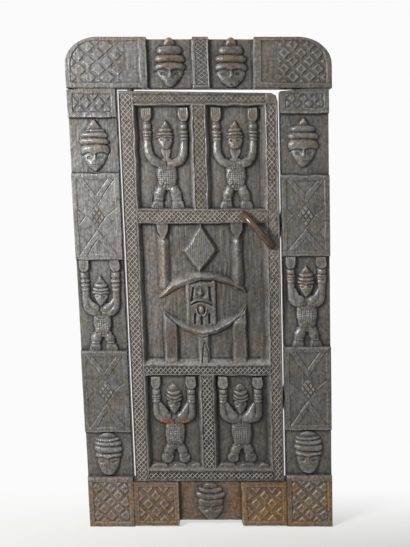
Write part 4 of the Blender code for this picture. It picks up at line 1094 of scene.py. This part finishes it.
inside_panel = leaf.window(PANEL_LEFT + 14, PANEL_RIGHT - 18, MIDDLE[0] + 20, MIDDLE[1] - 6)[0]
leaf.y[inside_panel] += 0.9 * uneven(leaf, 6.5, 60, 3)[inside_panel]
# A painted highlight pales the left strip of the ground and a dark patch darkens its right side; the pale
# line along the foot is a painted highlight on top of the ledge.
rub(leaf, "pale", *spot(-0.78, 0.45), 60, 300, 0.32)
rub(leaf, "grime_and_shade", *spot(0.55, 0.45), 130, 330, 0.36)
rub(leaf, "pale", *spot(0.0, 0.982), 260, 18, 2.6)
groove(leaf, [spot(-0.95, 0.957), spot(0.93, 0.957)], 5, 2.5)
x, z = spot(-0.064, 0.178)
plateau(leaf, [spot(-0.345, 0.195), spot(-0.055, 0.360), spot(0.265, 0.190), spot(-0.015, -0.010)],
        PANEL_FLOOR, 16, 12)
for step in np.arange(-35, 36, 7):
    reach = 72 * (1 - abs(step) / 52)
    groove(leaf, [(x + step, z - reach), (x + step, z + reach)], 3.4, 1.2)
for out, crest in ((-0.640, 1.25), (0.570, 1.3)):
    table_stroke(leaf, POST, lambda down: spot(out, down), PANEL_FLOOR, crown=crest)
    plateau(leaf, [spot(out + across, down) for across, down in CUP], PANEL_FLOOR, 15, 3.5)
for left, right, outer, inner in LEGS:
    leg = [spot(left, outer), spot(right, inner), spot(right, 1.0), spot(left, 1.0)]
    plateau(leaf, leg, PANEL_FLOOR, 14, 9)
for side in (-1, 1):
    pointed = [(0.05, 0.985), (0.05, 0.90), (0.03, 0.87), (0, 0.845)]
    groove(leaf, bent(*(spot(side * out - 0.007, down) for out, down in pointed)), 6, 5)
plateau(leaf, [spot(-0.31, 0.40), spot(0.205, 0.40), spot(0.19, 0.77), spot(-0.29, 0.77)], PANEL_FLOOR, 6, 15)
for line in (ARCH, BOWL):
    table_stroke(leaf, line, spot, PANEL_FLOOR, crown=1.1)
    below = 0.9 / (MIDDLE[1] - MIDDLE[0])
    groove(leaf, [spot(across, down + below * half) for across, down, half, high in line[1:-1]], 7, 4.5)
print("panel half width", PANEL_HALF, "mm")

# %% [markdown]
# The little figure in the niche is cut into a low swelling between two ribs: a diamond head between two
# slots, shoulders that overhang a round belly in its cup, and two short legs with slots beside them. Pits
# matter more than ridges here, because at this size the eye reads the shadows.

# %% Carve the niche figure
for across in (-0.268, 0.158):
    stroke(leaf, [spot(across, 0.42), spot(across, 0.71)], 9, 8.5, PANEL_FLOOR)
for start, end in (((-0.177, 0.455), (-0.205, 0.552)), ((0.090, 0.455), (0.098, 0.552))):
    groove(leaf, [spot(*start), spot(*end)], 12, 8)
x, z = spot(-0.057, 0.489)
dish(leaf, x, z, 24, 28, 6)
plateau(leaf, [(x - 16, z), (x, z - 21), (x + 16, z), (x, z + 21)], PANEL_FLOOR, 15, 10)
shoulders = bent(spot(-0.215, 0.562), spot(-0.12, 0.532), spot(0.0, 0.532), spot(0.115, 0.562))
stroke(leaf, shoulders, 5, 13.5, PANEL_FLOOR)
groove(leaf, [(px, pz - 7) for px, pz in shoulders], 8, 6)
x, z = spot(-0.0575, 0.607)
cup = bent(spot(-0.135, 0.61), spot(-0.13, 0.668), spot(0.02, 0.668), spot(0.025, 0.61))
stroke(leaf, cup, 4.5, 11.5, PANEL_FLOOR)
dish(leaf, x, z, 20, 20, 7)
stroke(leaf, [(x, z - 3), (x, z + 3)], [12, 11], 15.5, PANEL_FLOOR)
for across, low, high in ((-0.1545, 0.644, 0.704), (-0.05, 0.655, 0.712), (0.077, 0.641, 0.70)):
    groove(leaf, [spot(across, low), spot(across, high)], 11, 9)
# Stains: across, down, half width, half height and strength. The pale ones are painted highlights on the
# lit edges of the arch, the bowl and the posts.
STAINS = {"brown": ((-0.55, 0.48, 60, 22, 0.5), (0.35, 0.43, 80, 22, 0.4), (-0.33, 0.77, 70, 18, 0.4),
                    (-0.58, 0.85, 24, 70, 0.3), (0.55, 0.85, 22, 70, 0.26), (-0.68, 0.3, 16, 80, 0.4)),
          "grime_and_shade": ((-0.58, 0.85, 40, 90, 0.3), (0.57, 0.85, 40, 90, 0.3)),
          "pale": ((-0.42, 0.415, 60, 14, 1.3), (0.42, 0.685, 75, 13, 1.4), (0.57, 0.26, 13, 80, 1.0),
                   (-0.65, 0.24, 8, 70, 1.0), (-0.10, 0.36, 60, 9, 0.6), (0.05, 0.757, 50, 10, 0.8))}
for layer, patches in STAINS.items():
    for across, down, *patch in patches:
        rub(leaf, layer, *spot(across, down), *patch)
print("niche cup points", len(cup))

# %% [markdown]
# The bands between the panels are flat and a knife's depth lower than their borders, so the hatching can
# lie in them. Long drying cracks follow the grain. The stile beside the grip is worn smooth and brown by
# hands.

# %% Sink the bands and close the leaf
HATCH_DEPTH = 3.2
HINGE = (LEAF_LEFT + 2.5, LEAF_LEFT + 45)
LATCH = (LEAF_RIGHT - 37, LEAF_RIGHT - 4)
RAIL = (LEAF_LEFT + 49, LEAF_RIGHT - 38)
BETWEEN = (MULLION[0] + 3, MULLION[1] - 3)
# Each band: its box, its half pitch across and up, and how brown it is, how dark its pits are with soot
# and painted shade, and how rubbed its ridges are
HATCH = {"hinge_stile": ((*HINGE, LEAF_FOOT + 3, LEAF_TOP - 9), (8.6, 9.6), (0.178, 0.45, 2.3)),
         "latch_stile": ((*LATCH, LEAF_FOOT + 3, LEAF_TOP - 42), (8.3, 10.2), (0.178, 0.45, 1.63)),
         "lower_mullion": ((*BETWEEN, LOWER[0] + 2, LOWER[1] - 2), (8.2, 9.8), (0.16, 0.85, 1.9)),
         "upper_mullion": ((*BETWEEN, UPPER[0] + 2, UPPER[1] - 2), (8.2, 9.6), (0.22, 0.5, 1.0)),
         "bottom_rail": ((*RAIL, LEAF_FOOT + 5, LOWER[0] - 8), (8.4, 8.8), (0.16, 0.85, 1.9)),
         "lower_rail": ((*RAIL, LOWER[1] + 3, MIDDLE[0] - 3), (8.4, 8.8), (0.16, 0.85, 1.9)),
         "middle_rail": ((*RAIL, MIDDLE[1] + 3, UPPER[0] - 4), (8.4, 8.8), (0.22, 0.5, 2.0)),
         "top_rail": ((*RAIL, UPPER[1] + 5, LEAF_TOP - 8), (8.4, 8.8), (0.22, 0.5, 1.0))}
for box, half_pitch, wear in HATCH.values():
    pocket(leaf, *box, LEAF_FACE + HATCH_DEPTH, (1.2,) * 4)
GRIP_MIDDLE = (LEAF_RIGHT - 40, LEAF_FOOT + 900)
rub(leaf, "brown", *GRIP_MIDDLE, 60, 170, 0.15)
leaf.brown = np.maximum(leaf.brown, 0.08)
CRACKS = 16
rng = np.random.default_rng(4)
for crack in range(CRACKS):
    x = rng.uniform(LEAF_LEFT + 20, LEAF_RIGHT - 20)
    z = rng.uniform(LEAF_FOOT + 100, LEAF_TOP - 300)
    steps = np.linspace(0, rng.uniform(80, 240), 7)
    line = [(x + rng.normal(0, 0.8), z + step * rng.uniform(0.9, 1.1)) for step in steps]
    groove(leaf, line, 2.4, 1.6)


def leaf_edge(x):
    """The top falls a little to the right and its corner is chipped off."""
    fall = LEAF_HEAD - 8 * (x - LEAF_LEFT) / (LEAF_EDGE - LEAF_LEFT)
    chip = np.interp(x, (LEAF_EDGE - 22, LEAF_EDGE - 6, LEAF_EDGE), (0, 8.4, 31))
    return fall - chip


leaf_board = make_board("leaf_carved", leaf, level(LEAF_FOOT), leaf_edge, LEAF_BACK - 1.3, 186000,
                        uprights_wood, seed=41)

# %% [markdown]
# The hatching is what repeats most: over a thousand small pits between crossing ridges, and the same idea
# the other way round gives the studs of the lozenges. Geometry Nodes suit it. A square grid turned on its
# corner gives the diamond cells; each cell is inset to leave a ridge and pushed in or out. The tree adds
# its band to the mesh that comes in, so one modifier per band builds the whole sheet on one object.

# %% A tree for knife lattices
def lattice_tree():
    """Cells in a grid turned on its corner, each inset and pushed by Rise along -Y."""
    tree = bpy.data.node_groups.new("knife_lattice", "GeometryNodeTree")
    tree.interface.new_socket("Geometry", in_out="INPUT", socket_type="NodeSocketGeometry")
    other_kinds = {"Cells": "Int", "Seed": "Int", "Middle": "Vector", "Worn Middle": "Vector",
                   "Wood": "Material"}
    for label in ("Cells", "Half Pitch X", "Half Pitch Z", "Middle", "Half Width", "Half Height", "Thickness",
                  "Ridge Share", "Rise", "Slope Share", "Wobble", "Seed", "Worn Middle", "Worn Reach", "Lean",
                  "Lean Level", "Brown", "Soot", "Rubbed", "Wood"):
        kind = other_kinds.get(label, "Float")
        tree.interface.new_socket(label, in_out="INPUT", socket_type="NodeSocket" + kind)
    tree.interface.new_socket("Geometry", in_out="OUTPUT", socket_type="NodeSocketGeometry")
    add = partial(add_node, tree)
    given = add("NodeGroupInput").outputs
    forward = (0.0, -1.0, 0.0)

    count = add("ShaderNodeMath", {0: given["Cells"], 1: 1.0}, operation="ADD")
    grid = add("GeometryNodeMeshGrid", {"Size X": given["Cells"], "Size Y": given["Cells"],
                                        "Vertices X": count, "Vertices Y": count})
    place = add("GeometryNodeInputPosition")
    at = add("ShaderNodeSeparateXYZ", {0: place}).outputs
    across = add("ShaderNodeMath", {0: at["X"], 1: at["Y"]}, operation="SUBTRACT")
    up = add("ShaderNodeMath", {0: at["X"], 1: at["Y"]}, operation="ADD")
    x = add("ShaderNodeMath", {0: across, 1: given["Half Pitch X"]}, operation="MULTIPLY")
    z = add("ShaderNodeMath", {0: up, 1: given["Half Pitch Z"]}, operation="MULTIPLY")
    turned = add("ShaderNodeCombineXYZ", {"X": x, "Y": given["Thickness"], "Z": z})
    seated = add("ShaderNodeVectorMath", {0: turned, 1: given["Middle"]}, operation="ADD")
    shake = add("FunctionNodeRandomValue", {0: (-1.0, 0.0, -1.0), 1: (1.0, 0.0, 1.0), "Seed": given["Seed"]},
                data_type="FLOAT_VECTOR")
    wobble = add("ShaderNodeVectorMath", {0: shake, "Scale": given["Wobble"]}, operation="SCALE")
    laid = add("GeometryNodeSetPosition", {"Geometry": grid, "Position": seated, "Offset": wobble})

    away = add("ShaderNodeVectorMath", {0: place, 1: given["Middle"]}, operation="SUBTRACT")
    off = add("ShaderNodeSeparateXYZ", {0: away}).outputs
    beyond = []
    for label, limit in (("X", "Half Width"), ("Z", "Half Height")):
        size = add("ShaderNodeMath", {0: off[label]}, operation="ABSOLUTE")
        beyond.append(add("ShaderNodeMath", {0: size, 1: given[limit]}, operation="GREATER_THAN"))
    outside = add("ShaderNodeMath", {0: beyond[0], 1: beyond[1]}, operation="MAXIMUM")
    band = add("GeometryNodeDeleteGeometry", {"Geometry": laid, "Selection": outside}, domain="FACE")

    back = add("GeometryNodeFlipFaces", {"Mesh": band})
    body = add("GeometryNodeExtrudeMesh", {"Mesh": band, "Offset": forward,
                                           "Offset Scale": given["Thickness"], "Individual": False})
    inset = add("GeometryNodeExtrudeMesh", {"Mesh": body, "Selection": body.outputs["Top"],
                                            "Offset": forward, "Offset Scale": 0.0, "Individual": True})
    ridge = add("GeometryNodeScaleElements", {"Geometry": inset, "Selection": inset.outputs["Top"],
                                              "Scale": given["Ridge Share"]}, domain="FACE")
    hand = add("FunctionNodeRandomValue", {2: 0.7, 3: 1.15, "Seed": given["Seed"]}, data_type="FLOAT")
    distance = add("ShaderNodeVectorMath", {0: place, 1: given["Worn Middle"]}, operation="DISTANCE")
    kept = add("ShaderNodeMath", {0: distance, 1: given["Worn Reach"]}, operation="DIVIDE")
    fade = add("ShaderNodeMapRange", {"Value": kept, "From Min": 0.45, "From Max": 1.0, "To Min": 0.4})
    deep = add("ShaderNodeMath", {0: given["Rise"], 1: hand}, operation="MULTIPLY")
    push = add("ShaderNodeMath", {0: deep, 1: fade}, operation="MULTIPLY")
    cut = add("GeometryNodeExtrudeMesh", {"Mesh": ridge, "Selection": inset.outputs["Top"],
                                          "Offset": forward, "Offset Scale": push, "Individual": True})
    sloped = add("GeometryNodeScaleElements", {"Geometry": cut, "Selection": cut.outputs["Top"],
                                               "Scale": given["Slope Share"]}, domain="FACE")

    closed = add("GeometryNodeJoinGeometry", {0: back})
    tree.links.new(sloped.outputs[0], closed.inputs[0])
    least = add("ShaderNodeCombineXYZ", {"X": given["Half Width"], "Y": 1.0, "Z": given["Half Height"]})
    low = add("ShaderNodeVectorMath", {0: given["Middle"], 1: least}, operation="SUBTRACT")
    high = add("ShaderNodeVectorMath", {0: given["Middle"], 1: least}, operation="ADD")
    raised = add("ShaderNodeVectorMath", {0: place, 1: low}, operation="MAXIMUM")
    held = add("ShaderNodeVectorMath", {0: raised, 1: high}, operation="MINIMUM")
    trimmed = add("GeometryNodeSetPosition", {"Geometry": closed, "Position": held})
    welded = add("GeometryNodeMergeByDistance", {"Geometry": trimmed, "Distance": 0.03 * MM})

    fall = add("ShaderNodeMath", {0: given["Rise"], 1: 0.0}, operation="MINIMUM")
    peak = add("ShaderNodeMath", {0: given["Rise"], 1: 0.0}, operation="MAXIMUM")
    height = add("ShaderNodeMath", {0: off["Y"], 1: -1.0}, operation="MULTIPLY")
    share = add("ShaderNodeMapRange", {"Value": height, "From Min": fall, "From Max": peak})
    # The pits darken towards their floors: soot and painted shade.
    soot = add("ShaderNodeMapRange", {"Value": share, "To Min": given["Soot"], "To Max": 0.0})
    bright = add("ShaderNodeMath", {0: given["Rubbed"], 1: fade}, operation="MULTIPLY")
    wear = add("ShaderNodeMapRange", {"Value": share, "From Min": 0.5, "To Max": bright})
    shape = welded
    for label, value in (("soot", soot), ("rubbed", wear), ("brown", given["Brown"])):
        shape = add("GeometryNodeStoreNamedAttribute", {"Geometry": shape, "Name": label, "Value": value},
                    data_type="FLOAT", domain="POINT")
    down = add("ShaderNodeMath", {0: given["Lean Level"], 1: at["Z"]}, operation="SUBTRACT")
    shift = add("ShaderNodeMath", {0: down, 1: given["Lean"]}, operation="MULTIPLY")
    sideways = add("ShaderNodeCombineXYZ", {"X": shift})
    leaned = add("GeometryNodeSetPosition", {"Geometry": shape, "Offset": sideways})
    real = add("GeometryNodeRealizeInstances", {"Geometry": leaned})
    dressed = add("GeometryNodeSetMaterial", {"Geometry": real, "Material": given["Wood"]})
    both = add("GeometryNodeJoinGeometry", {0: given["Geometry"]})
    tree.links.new(dressed.outputs[0], both.inputs[0])
    add("NodeGroupOutput", {"Geometry": both})
    return tree


KNIFE_LATTICE = lattice_tree()
SOCKETS = {item.name: item.identifier for item in KNIFE_LATTICE.interface.items_tree
           if item.in_out == "INPUT"}
print("lattice tree nodes", len(KNIFE_LATTICE.nodes))

# %% [markdown]
# Every band gets one modifier. A pit's ridge is about two millimetres wide, and a little wobble in the
# corners keeps it from looking printed. The random draw has a fixed seed, so the door comes out the same
# each time.

# %% Lay the hatching and the studs
SHEET = 3.6
FAR_OFF = (9000, 9000, 9000)


def lattice_band(thing, box, face, pitch, material, seed, ridge=0.86, rise=-2.0, slope=0.78, wobble=0.7,
                 cells=None, worn=FAR_OFF, reach=200, brown=0.0, soot=0.5, rubbed=1.0):
    """Add one band of lattice to thing. box is its left, right, foot and head."""
    left, right, low, high = box
    cells = cells or int((right - left) / pitch[0] / 2 + (high - low) / pitch[1] / 2) + 3
    band = thing.modifiers.new("band", "NODES")
    band.node_group = KNIFE_LATTICE
    lengths = {"Half Pitch X": pitch[0], "Half Pitch Z": pitch[1], "Half Width": (right - left) / 2,
               "Half Height": (high - low) / 2, "Thickness": SHEET, "Rise": rise, "Wobble": wobble,
               "Worn Reach": reach, "Lean Level": LEAN_LEVEL}
    places = {"Middle": ((left + right) / 2, face, (low + high) / 2), "Worn Middle": worn}
    values = {"Cells": cells, "Ridge Share": ridge, "Slope Share": slope, "Seed": seed, "Lean": LEAN,
              "Brown": brown, "Soot": soot, "Rubbed": rubbed, "Wood": material}
    values.update((label, float(length) * MM) for label, length in lengths.items())
    values.update((label, [float(along) * MM for along in place]) for label, place in places.items())
    for label, value in values.items():
        band[SOCKETS[label]] = value


leaf_hatching = link("leaf_hatching", bpy.data.meshes.new("leaf_hatching"), uprights_wood)
BESIDE_GRIP = (GRIP_MIDDLE[0] + 20, LEAF_FACE, GRIP_MIDDLE[1] + 20)
for number, (box, half_pitch, (brown, soot, rubbed)) in enumerate(HATCH.values()):
    lattice_band(leaf_hatching, box, LEAF_FACE, half_pitch, uprights_wood, 50 + number, worn=BESIDE_GRIP,
                 reach=150, brown=brown, soot=soot, rubbed=rubbed)
plain_mesh(leaf_hatching)
frame_hatching = link("frame_hatching", bpy.data.meshes.new("frame_hatching"), uprights_wood)
lattice_band(frame_hatching, LINTEL_HATCH, LINTEL_FACE, (9.5, 7.2), uprights_wood, 61)
wide, tall = LOZENGE
for side in (LEFT_SIDE, RIGHT_SIDE):
    for low, high in (side["rows"][2:4], side["rows"][4:6]):
        x, z = sum(side["edges"]) / 2, (low + high) / 2
        lattice_band(frame_hatching, (x - wide, x + wide, z - tall, z + tall), JAMB_FACE + 1.5,
                     (wide / 3.3, tall / 3.3), uprights_wood, 70, ridge=0.80, rise=2.4, slope=0.72, cells=3,
                     brown=0.12, soot=0.3)
plain_mesh(frame_hatching)
for thing in (leaf_hatching, frame_hatching):
    print(thing.name, len(thing.data.polygons), "faces")

# %% [markdown]
# Years of hands have polished the grip to a reddish brown that shines, and the pegs are whittled from
# paler, dull wood. Both are the same stuff to the eye, streaked along the branch, so one function makes
# them with different colours and shine.

# %% Polished and whittled wood
def polished_wood(name, dark, pale, shine):
    """Hardwood rubbed by hands: fine streaks along the branch and a soft clear highlight."""
    material, add = fresh_material(name)
    place = add("ShaderNodeTexCoord").outputs["Object"]
    stretched = add("ShaderNodeMapping", {"Vector": place, "Rotation": (0, math.radians(41), 0),
                                          "Scale": (1 / (3 * MM), 1 / (3 * MM), 1 / (60 * MM))})
    grain = add("ShaderNodeTexNoise", {"Vector": stretched, "Scale": 1.0, "Detail": 4.0})
    blotch = add("ShaderNodeTexNoise", {"Vector": place, "Scale": 1 / (45 * MM), "Detail": 2.0})
    tone = add("ShaderNodeMath", {0: grain, 1: blotch}, operation="ADD")
    streak = add("ShaderNodeMapRange", {"Value": tone, "From Min": 0.72, "From Max": 1.28})
    wood = add("ShaderNodeMix", {"Factor": streak, 6: colour(dark), 7: colour(pale)}, data_type="RGBA")
    rough = add("ShaderNodeMapRange", {"Value": streak, "To Min": shine, "To Max": shine + 0.12})
    bump = add("ShaderNodeBump", {"Height": grain, "Strength": 0.25, "Distance": 0.5 * MM})
    shader = add("ShaderNodeBsdfPrincipled", {"Base Color": wood, "Roughness": rough,
                                              "Normal": bump, "IOR": 1.5})
    add("ShaderNodeOutputMaterial", {"Surface": shader})
    return material


# Handled branch wood: dark red-brown, with highlights that stay soft.
grip_wood = polished_wood("hand_polished_branch_wood", "2A1E18", "685041", 0.18)
# Whittled pegs: paler brown, dull, cut faces.
peg_wood = polished_wood("whittled_peg_wood", "2B211A", "4C3C30", 0.55)
print("materials", grip_wood.name, peg_wood.name)

# %% [markdown]
# The grip is a branch with a natural bow, pegged through the leaf at both ends. A curve with a bevel would
# give it an even thickness, but no branch is a perfect cylinder, so it is a tube of rings swept along an
# arc, thicker at its ends and slightly knotted.

# %% Shape the grip
GRIP_FEET = ((LEAF_RIGHT - 121, LEAF_FOOT + 975), (LEAF_RIGHT - 27, LEAF_FOOT + 867))
GRIP_RISE = 35.5
GRIP_RADIUS = 13
TENON_RADIUS = 8.5


def ring_tube(name, centres, radii, axes, sides):
    """A closed tube through rings, each round its own pair of axes, capped with a fan at both ends."""
    turns = np.linspace(0, 2 * np.pi, sides, endpoint=False)
    rings = [c + r * (np.outer(np.cos(turns), a) + np.outer(np.sin(turns), b))
             for c, r, (a, b) in zip(centres, radii, axes)]
    points = np.concatenate(rings + [np.array([centres[0], centres[-1]])])
    numbers = np.arange(len(centres) * sides).reshape(len(centres), sides)
    numbers = np.concatenate((numbers, numbers[:, :1]), axis=1)
    last = len(centres) * sides
    caps = [(last, numbers[0, k], numbers[0, k + 1]) for k in range(sides)]
    caps += [(last + 1, numbers[-1, k + 1], numbers[-1, k]) for k in range(sides)]
    triangles = np.concatenate((sheet_triangles(numbers, False), np.array(caps)))
    mesh = triangle_mesh(name, leaning(points), triangles)
    bm = bmesh.new()
    bm.from_mesh(mesh)
    bmesh.ops.recalc_face_normals(bm, faces=bm.faces)
    bm.to_mesh(mesh)
    bm.free()
    mesh.shade_smooth()
    mesh.set_sharp_from_angle(angle=math.radians(50))
    return mesh


top, foot = (np.array((x, LEAF_FACE, z)) for x, z in GRIP_FEET)
run = (foot - top) / np.linalg.norm(foot - top)
out = np.array((0.0, -1.0, 0.0))
beside = np.cross(run, out)
centres = [np.array((top[0], LEAF_BACK, top[2])), top + 2 * -out]
radii = [TENON_RADIUS] * 2
axes = [(run, beside)] * 2
for share in np.linspace(0, 1, 45):
    arc = math.pi * share
    lift = GRIP_RISE * math.sin(arc) ** 0.55 if 0 < share < 1 else 0.0
    heading = out * math.cos(arc) * 0.8 + run * (math.sin(arc) + 0.15)
    heading /= np.linalg.norm(heading)
    other = np.cross(heading, beside)
    knots = 0.035 * math.sin(9 * share + 1) - 0.02 * math.cos(17 * share)
    swell = 0.95 + 0.11 * abs(2 * share - 1) ** 2 + knots
    centres.append(top + (foot - top) * share + out * lift)
    radii.append(GRIP_RADIUS * swell)
    axes.append((other, beside))
centres += [foot + 2 * -out, np.array((foot[0], LEAF_BACK, foot[2]))]
radii += [TENON_RADIUS] * 2
axes += [(-run, beside)] * 2
grip = link("bowed_grip", ring_tube("bowed_grip", centres, radii, axes, 22), grip_wood)
print("grip faces", len(grip.data.polygons))

# %% [markdown]
# The two stop pegs sit in the right jamb behind the leaf. Round each of them the carver left a long lump of
# wood that tapers up and down the jamb, so that the leaf knocks against something broad. It shows as a dark
# spindle in the gap, and a tube of rings along the jamb's edge is enough to make it.

# %% Leave the stop lumps
STOP_HALF = 56
STOP_BULGE = 9
stop_lumps = []
for node in ("lower_stop_peg", "upper_stop_peg"):
    stop_low, stop_high = (np.array(corner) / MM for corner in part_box(node))
    middle = leaning(((stop_low + stop_high) / 2)[None, :], -1)[0]
    shares = np.linspace(-1, 1, 17)
    centres = [np.array((right_low[0] + 1, LEAF_BACK + 2 + STOP_BULGE, middle[2] + s * STOP_HALF))
               for s in shares]
    radii = [STOP_BULGE * (1.02 - abs(s)) ** 0.7 for s in shares]
    axes = [(np.array((1.0, 0.0, 0.0)), np.array((0.0, 1.0, 0.0)))] * len(shares)
    lump = ring_tube(node.replace("peg", "lump"), centres, radii, axes, 14)
    stop_lumps.append(link(lump.name, lump, peg_wood))
print("stop lumps", [thing.name for thing in stop_lumps])

# %% [markdown]
# The pegs, wedges and pintles are plain whittled sticks, and their CAD solids already have the right shape.
# They stay, and only their material slots change. Then every new piece is tied to the body it moves with,
# and the CAD node that it replaces is hidden.

# %% Tie the pieces to the bodies
for name, thing in frame["nodes"].items():
    if "peg" in name or "wedge" in name or "pintle" in name:
        for slot in thing.material_slots:
            slot.material = peg_wood
for thing, body, node, finish in ((lintel_board, "frame", "lintel", "weathered_wood"),
                                  (jamb_boards[0], "frame", "left_jamb", "weathered_wood"),
                                  (jamb_boards[1], "frame", "right_jamb", "weathered_wood"),
                                  (sill_board, "frame", "sill", "ochre_wood"),
                                  (leaf_board, "door_leaf", "leaf", "weathered_wood"),
                                  (grip, "door_leaf", "handle", "polished_wood"),
                                  (leaf_hatching, "door_leaf", None, "weathered_wood"),
                                  (frame_hatching, "frame", None, "weathered_wood"),
                                  (stop_lumps[0], "frame", None, "peg_wood"),
                                  (stop_lumps[1], "frame", None, "peg_wood")):
    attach(thing, body)
    if node:
        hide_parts(node)
    print(thing.name, "rides on", body)

# %% [markdown]
# The photograph was taken in front of a white paper sweep, with one large soft lamp to the left and a
# little above. The floor keeps the shadow at the door's foot and fades to white behind it, only for the
# camera, so the white adds no light. A dim even light from all round stands for the rest of the room.

# %% Floor, light and camera
def background_rays(add):
    """One for rays that see the white background: straight, mirrored or through something clear."""
    rays = add("ShaderNodeLightPath").outputs
    seen = add("ShaderNodeMath", {0: rays["Is Camera Ray"], 1: rays["Is Glossy Ray"]}, operation="MAXIMUM")
    return add("ShaderNodeMath", {0: seen, 1: rays["Is Transmission Ray"]}, operation="MAXIMUM")


# Metres in front of and behind the door between which the paper fades to white
FADE = (-0.42, 0.36)
paper, add = fresh_material("white_paper_sweep")
place = add("ShaderNodeTexCoord").outputs["Object"]
at = add("ShaderNodeSeparateXYZ", {0: place}).outputs
far = add("ShaderNodeMapRange", {"Value": at["Y"], "From Min": FADE[0], "From Max": FADE[1]},
          interpolation_type="SMOOTHSTEP")
share = add("ShaderNodeMath", {0: far, 1: background_rays(add)}, operation="MULTIPLY")
matt = add("ShaderNodeBsdfDiffuse", {"Color": colour("D6D5CF"), "Roughness": 0.6})
white = add("ShaderNodeEmission", {"Color": colour("FBFBFB"), "Strength": 1.0})
mixed = add("ShaderNodeMixShader", {0: share, 1: matt, 2: white})
add("ShaderNodeOutputMaterial", {"Surface": mixed})
bm = bmesh.new()
bmesh.ops.create_grid(bm, x_segments=1, y_segments=1, size=8.0)
sheet = bpy.data.meshes.new("paper_sweep")
bm.to_mesh(sheet)
bm.free()
sweep = link("paper_sweep", sheet, paper)

world = bpy.data.worlds.new("studio")
world.use_nodes = True
world.node_tree.nodes.clear()
add = partial(add_node, world.node_tree)
dim = add("ShaderNodeBackground", {"Color": colour("F4F6F8"), "Strength": 0.34})
bright = add("ShaderNodeBackground", {"Color": colour("FBFBFB"), "Strength": 1.0})
mixed = add("ShaderNodeMixShader", {0: background_rays(add), 1: dim, 2: bright})
add("ShaderNodeOutputWorld", {"Surface": mixed})
bpy.context.scene.world = world

LAMP_PLACE = Vector((-1.85, -1.75, 1.8))
LAMP_TARGET = Vector((-0.05, 0.0, 0.88))
soft_light = bpy.data.lights.new("window_left", "AREA")
soft_light.size = 0.9
soft_light.energy = 97
lamp = bpy.data.objects.new("window_left", soft_light)
lamp.location = LAMP_PLACE
lamp.rotation_euler = (LAMP_TARGET - LAMP_PLACE).to_track_quat("-Z", "Y").to_euler()
bpy.context.scene.collection.objects.link(lamp)

CAMERA_PITCH = 7.88
view = bpy.data.cameras.new("photo_view")
view.lens = 50
view.sensor_width = 36
camera = bpy.data.objects.new("photo_view", view)
camera.location = (0.0033, -2.66, 1.3116)
camera.rotation_euler = (math.radians(90 - CAMERA_PITCH), 0, 0)
bpy.context.scene.collection.objects.link(camera)
bpy.context.scene.camera = camera
bpy.context.scene.view_settings.view_transform = "Standard"
print("camera", [round(v, 3) for v in camera.location])
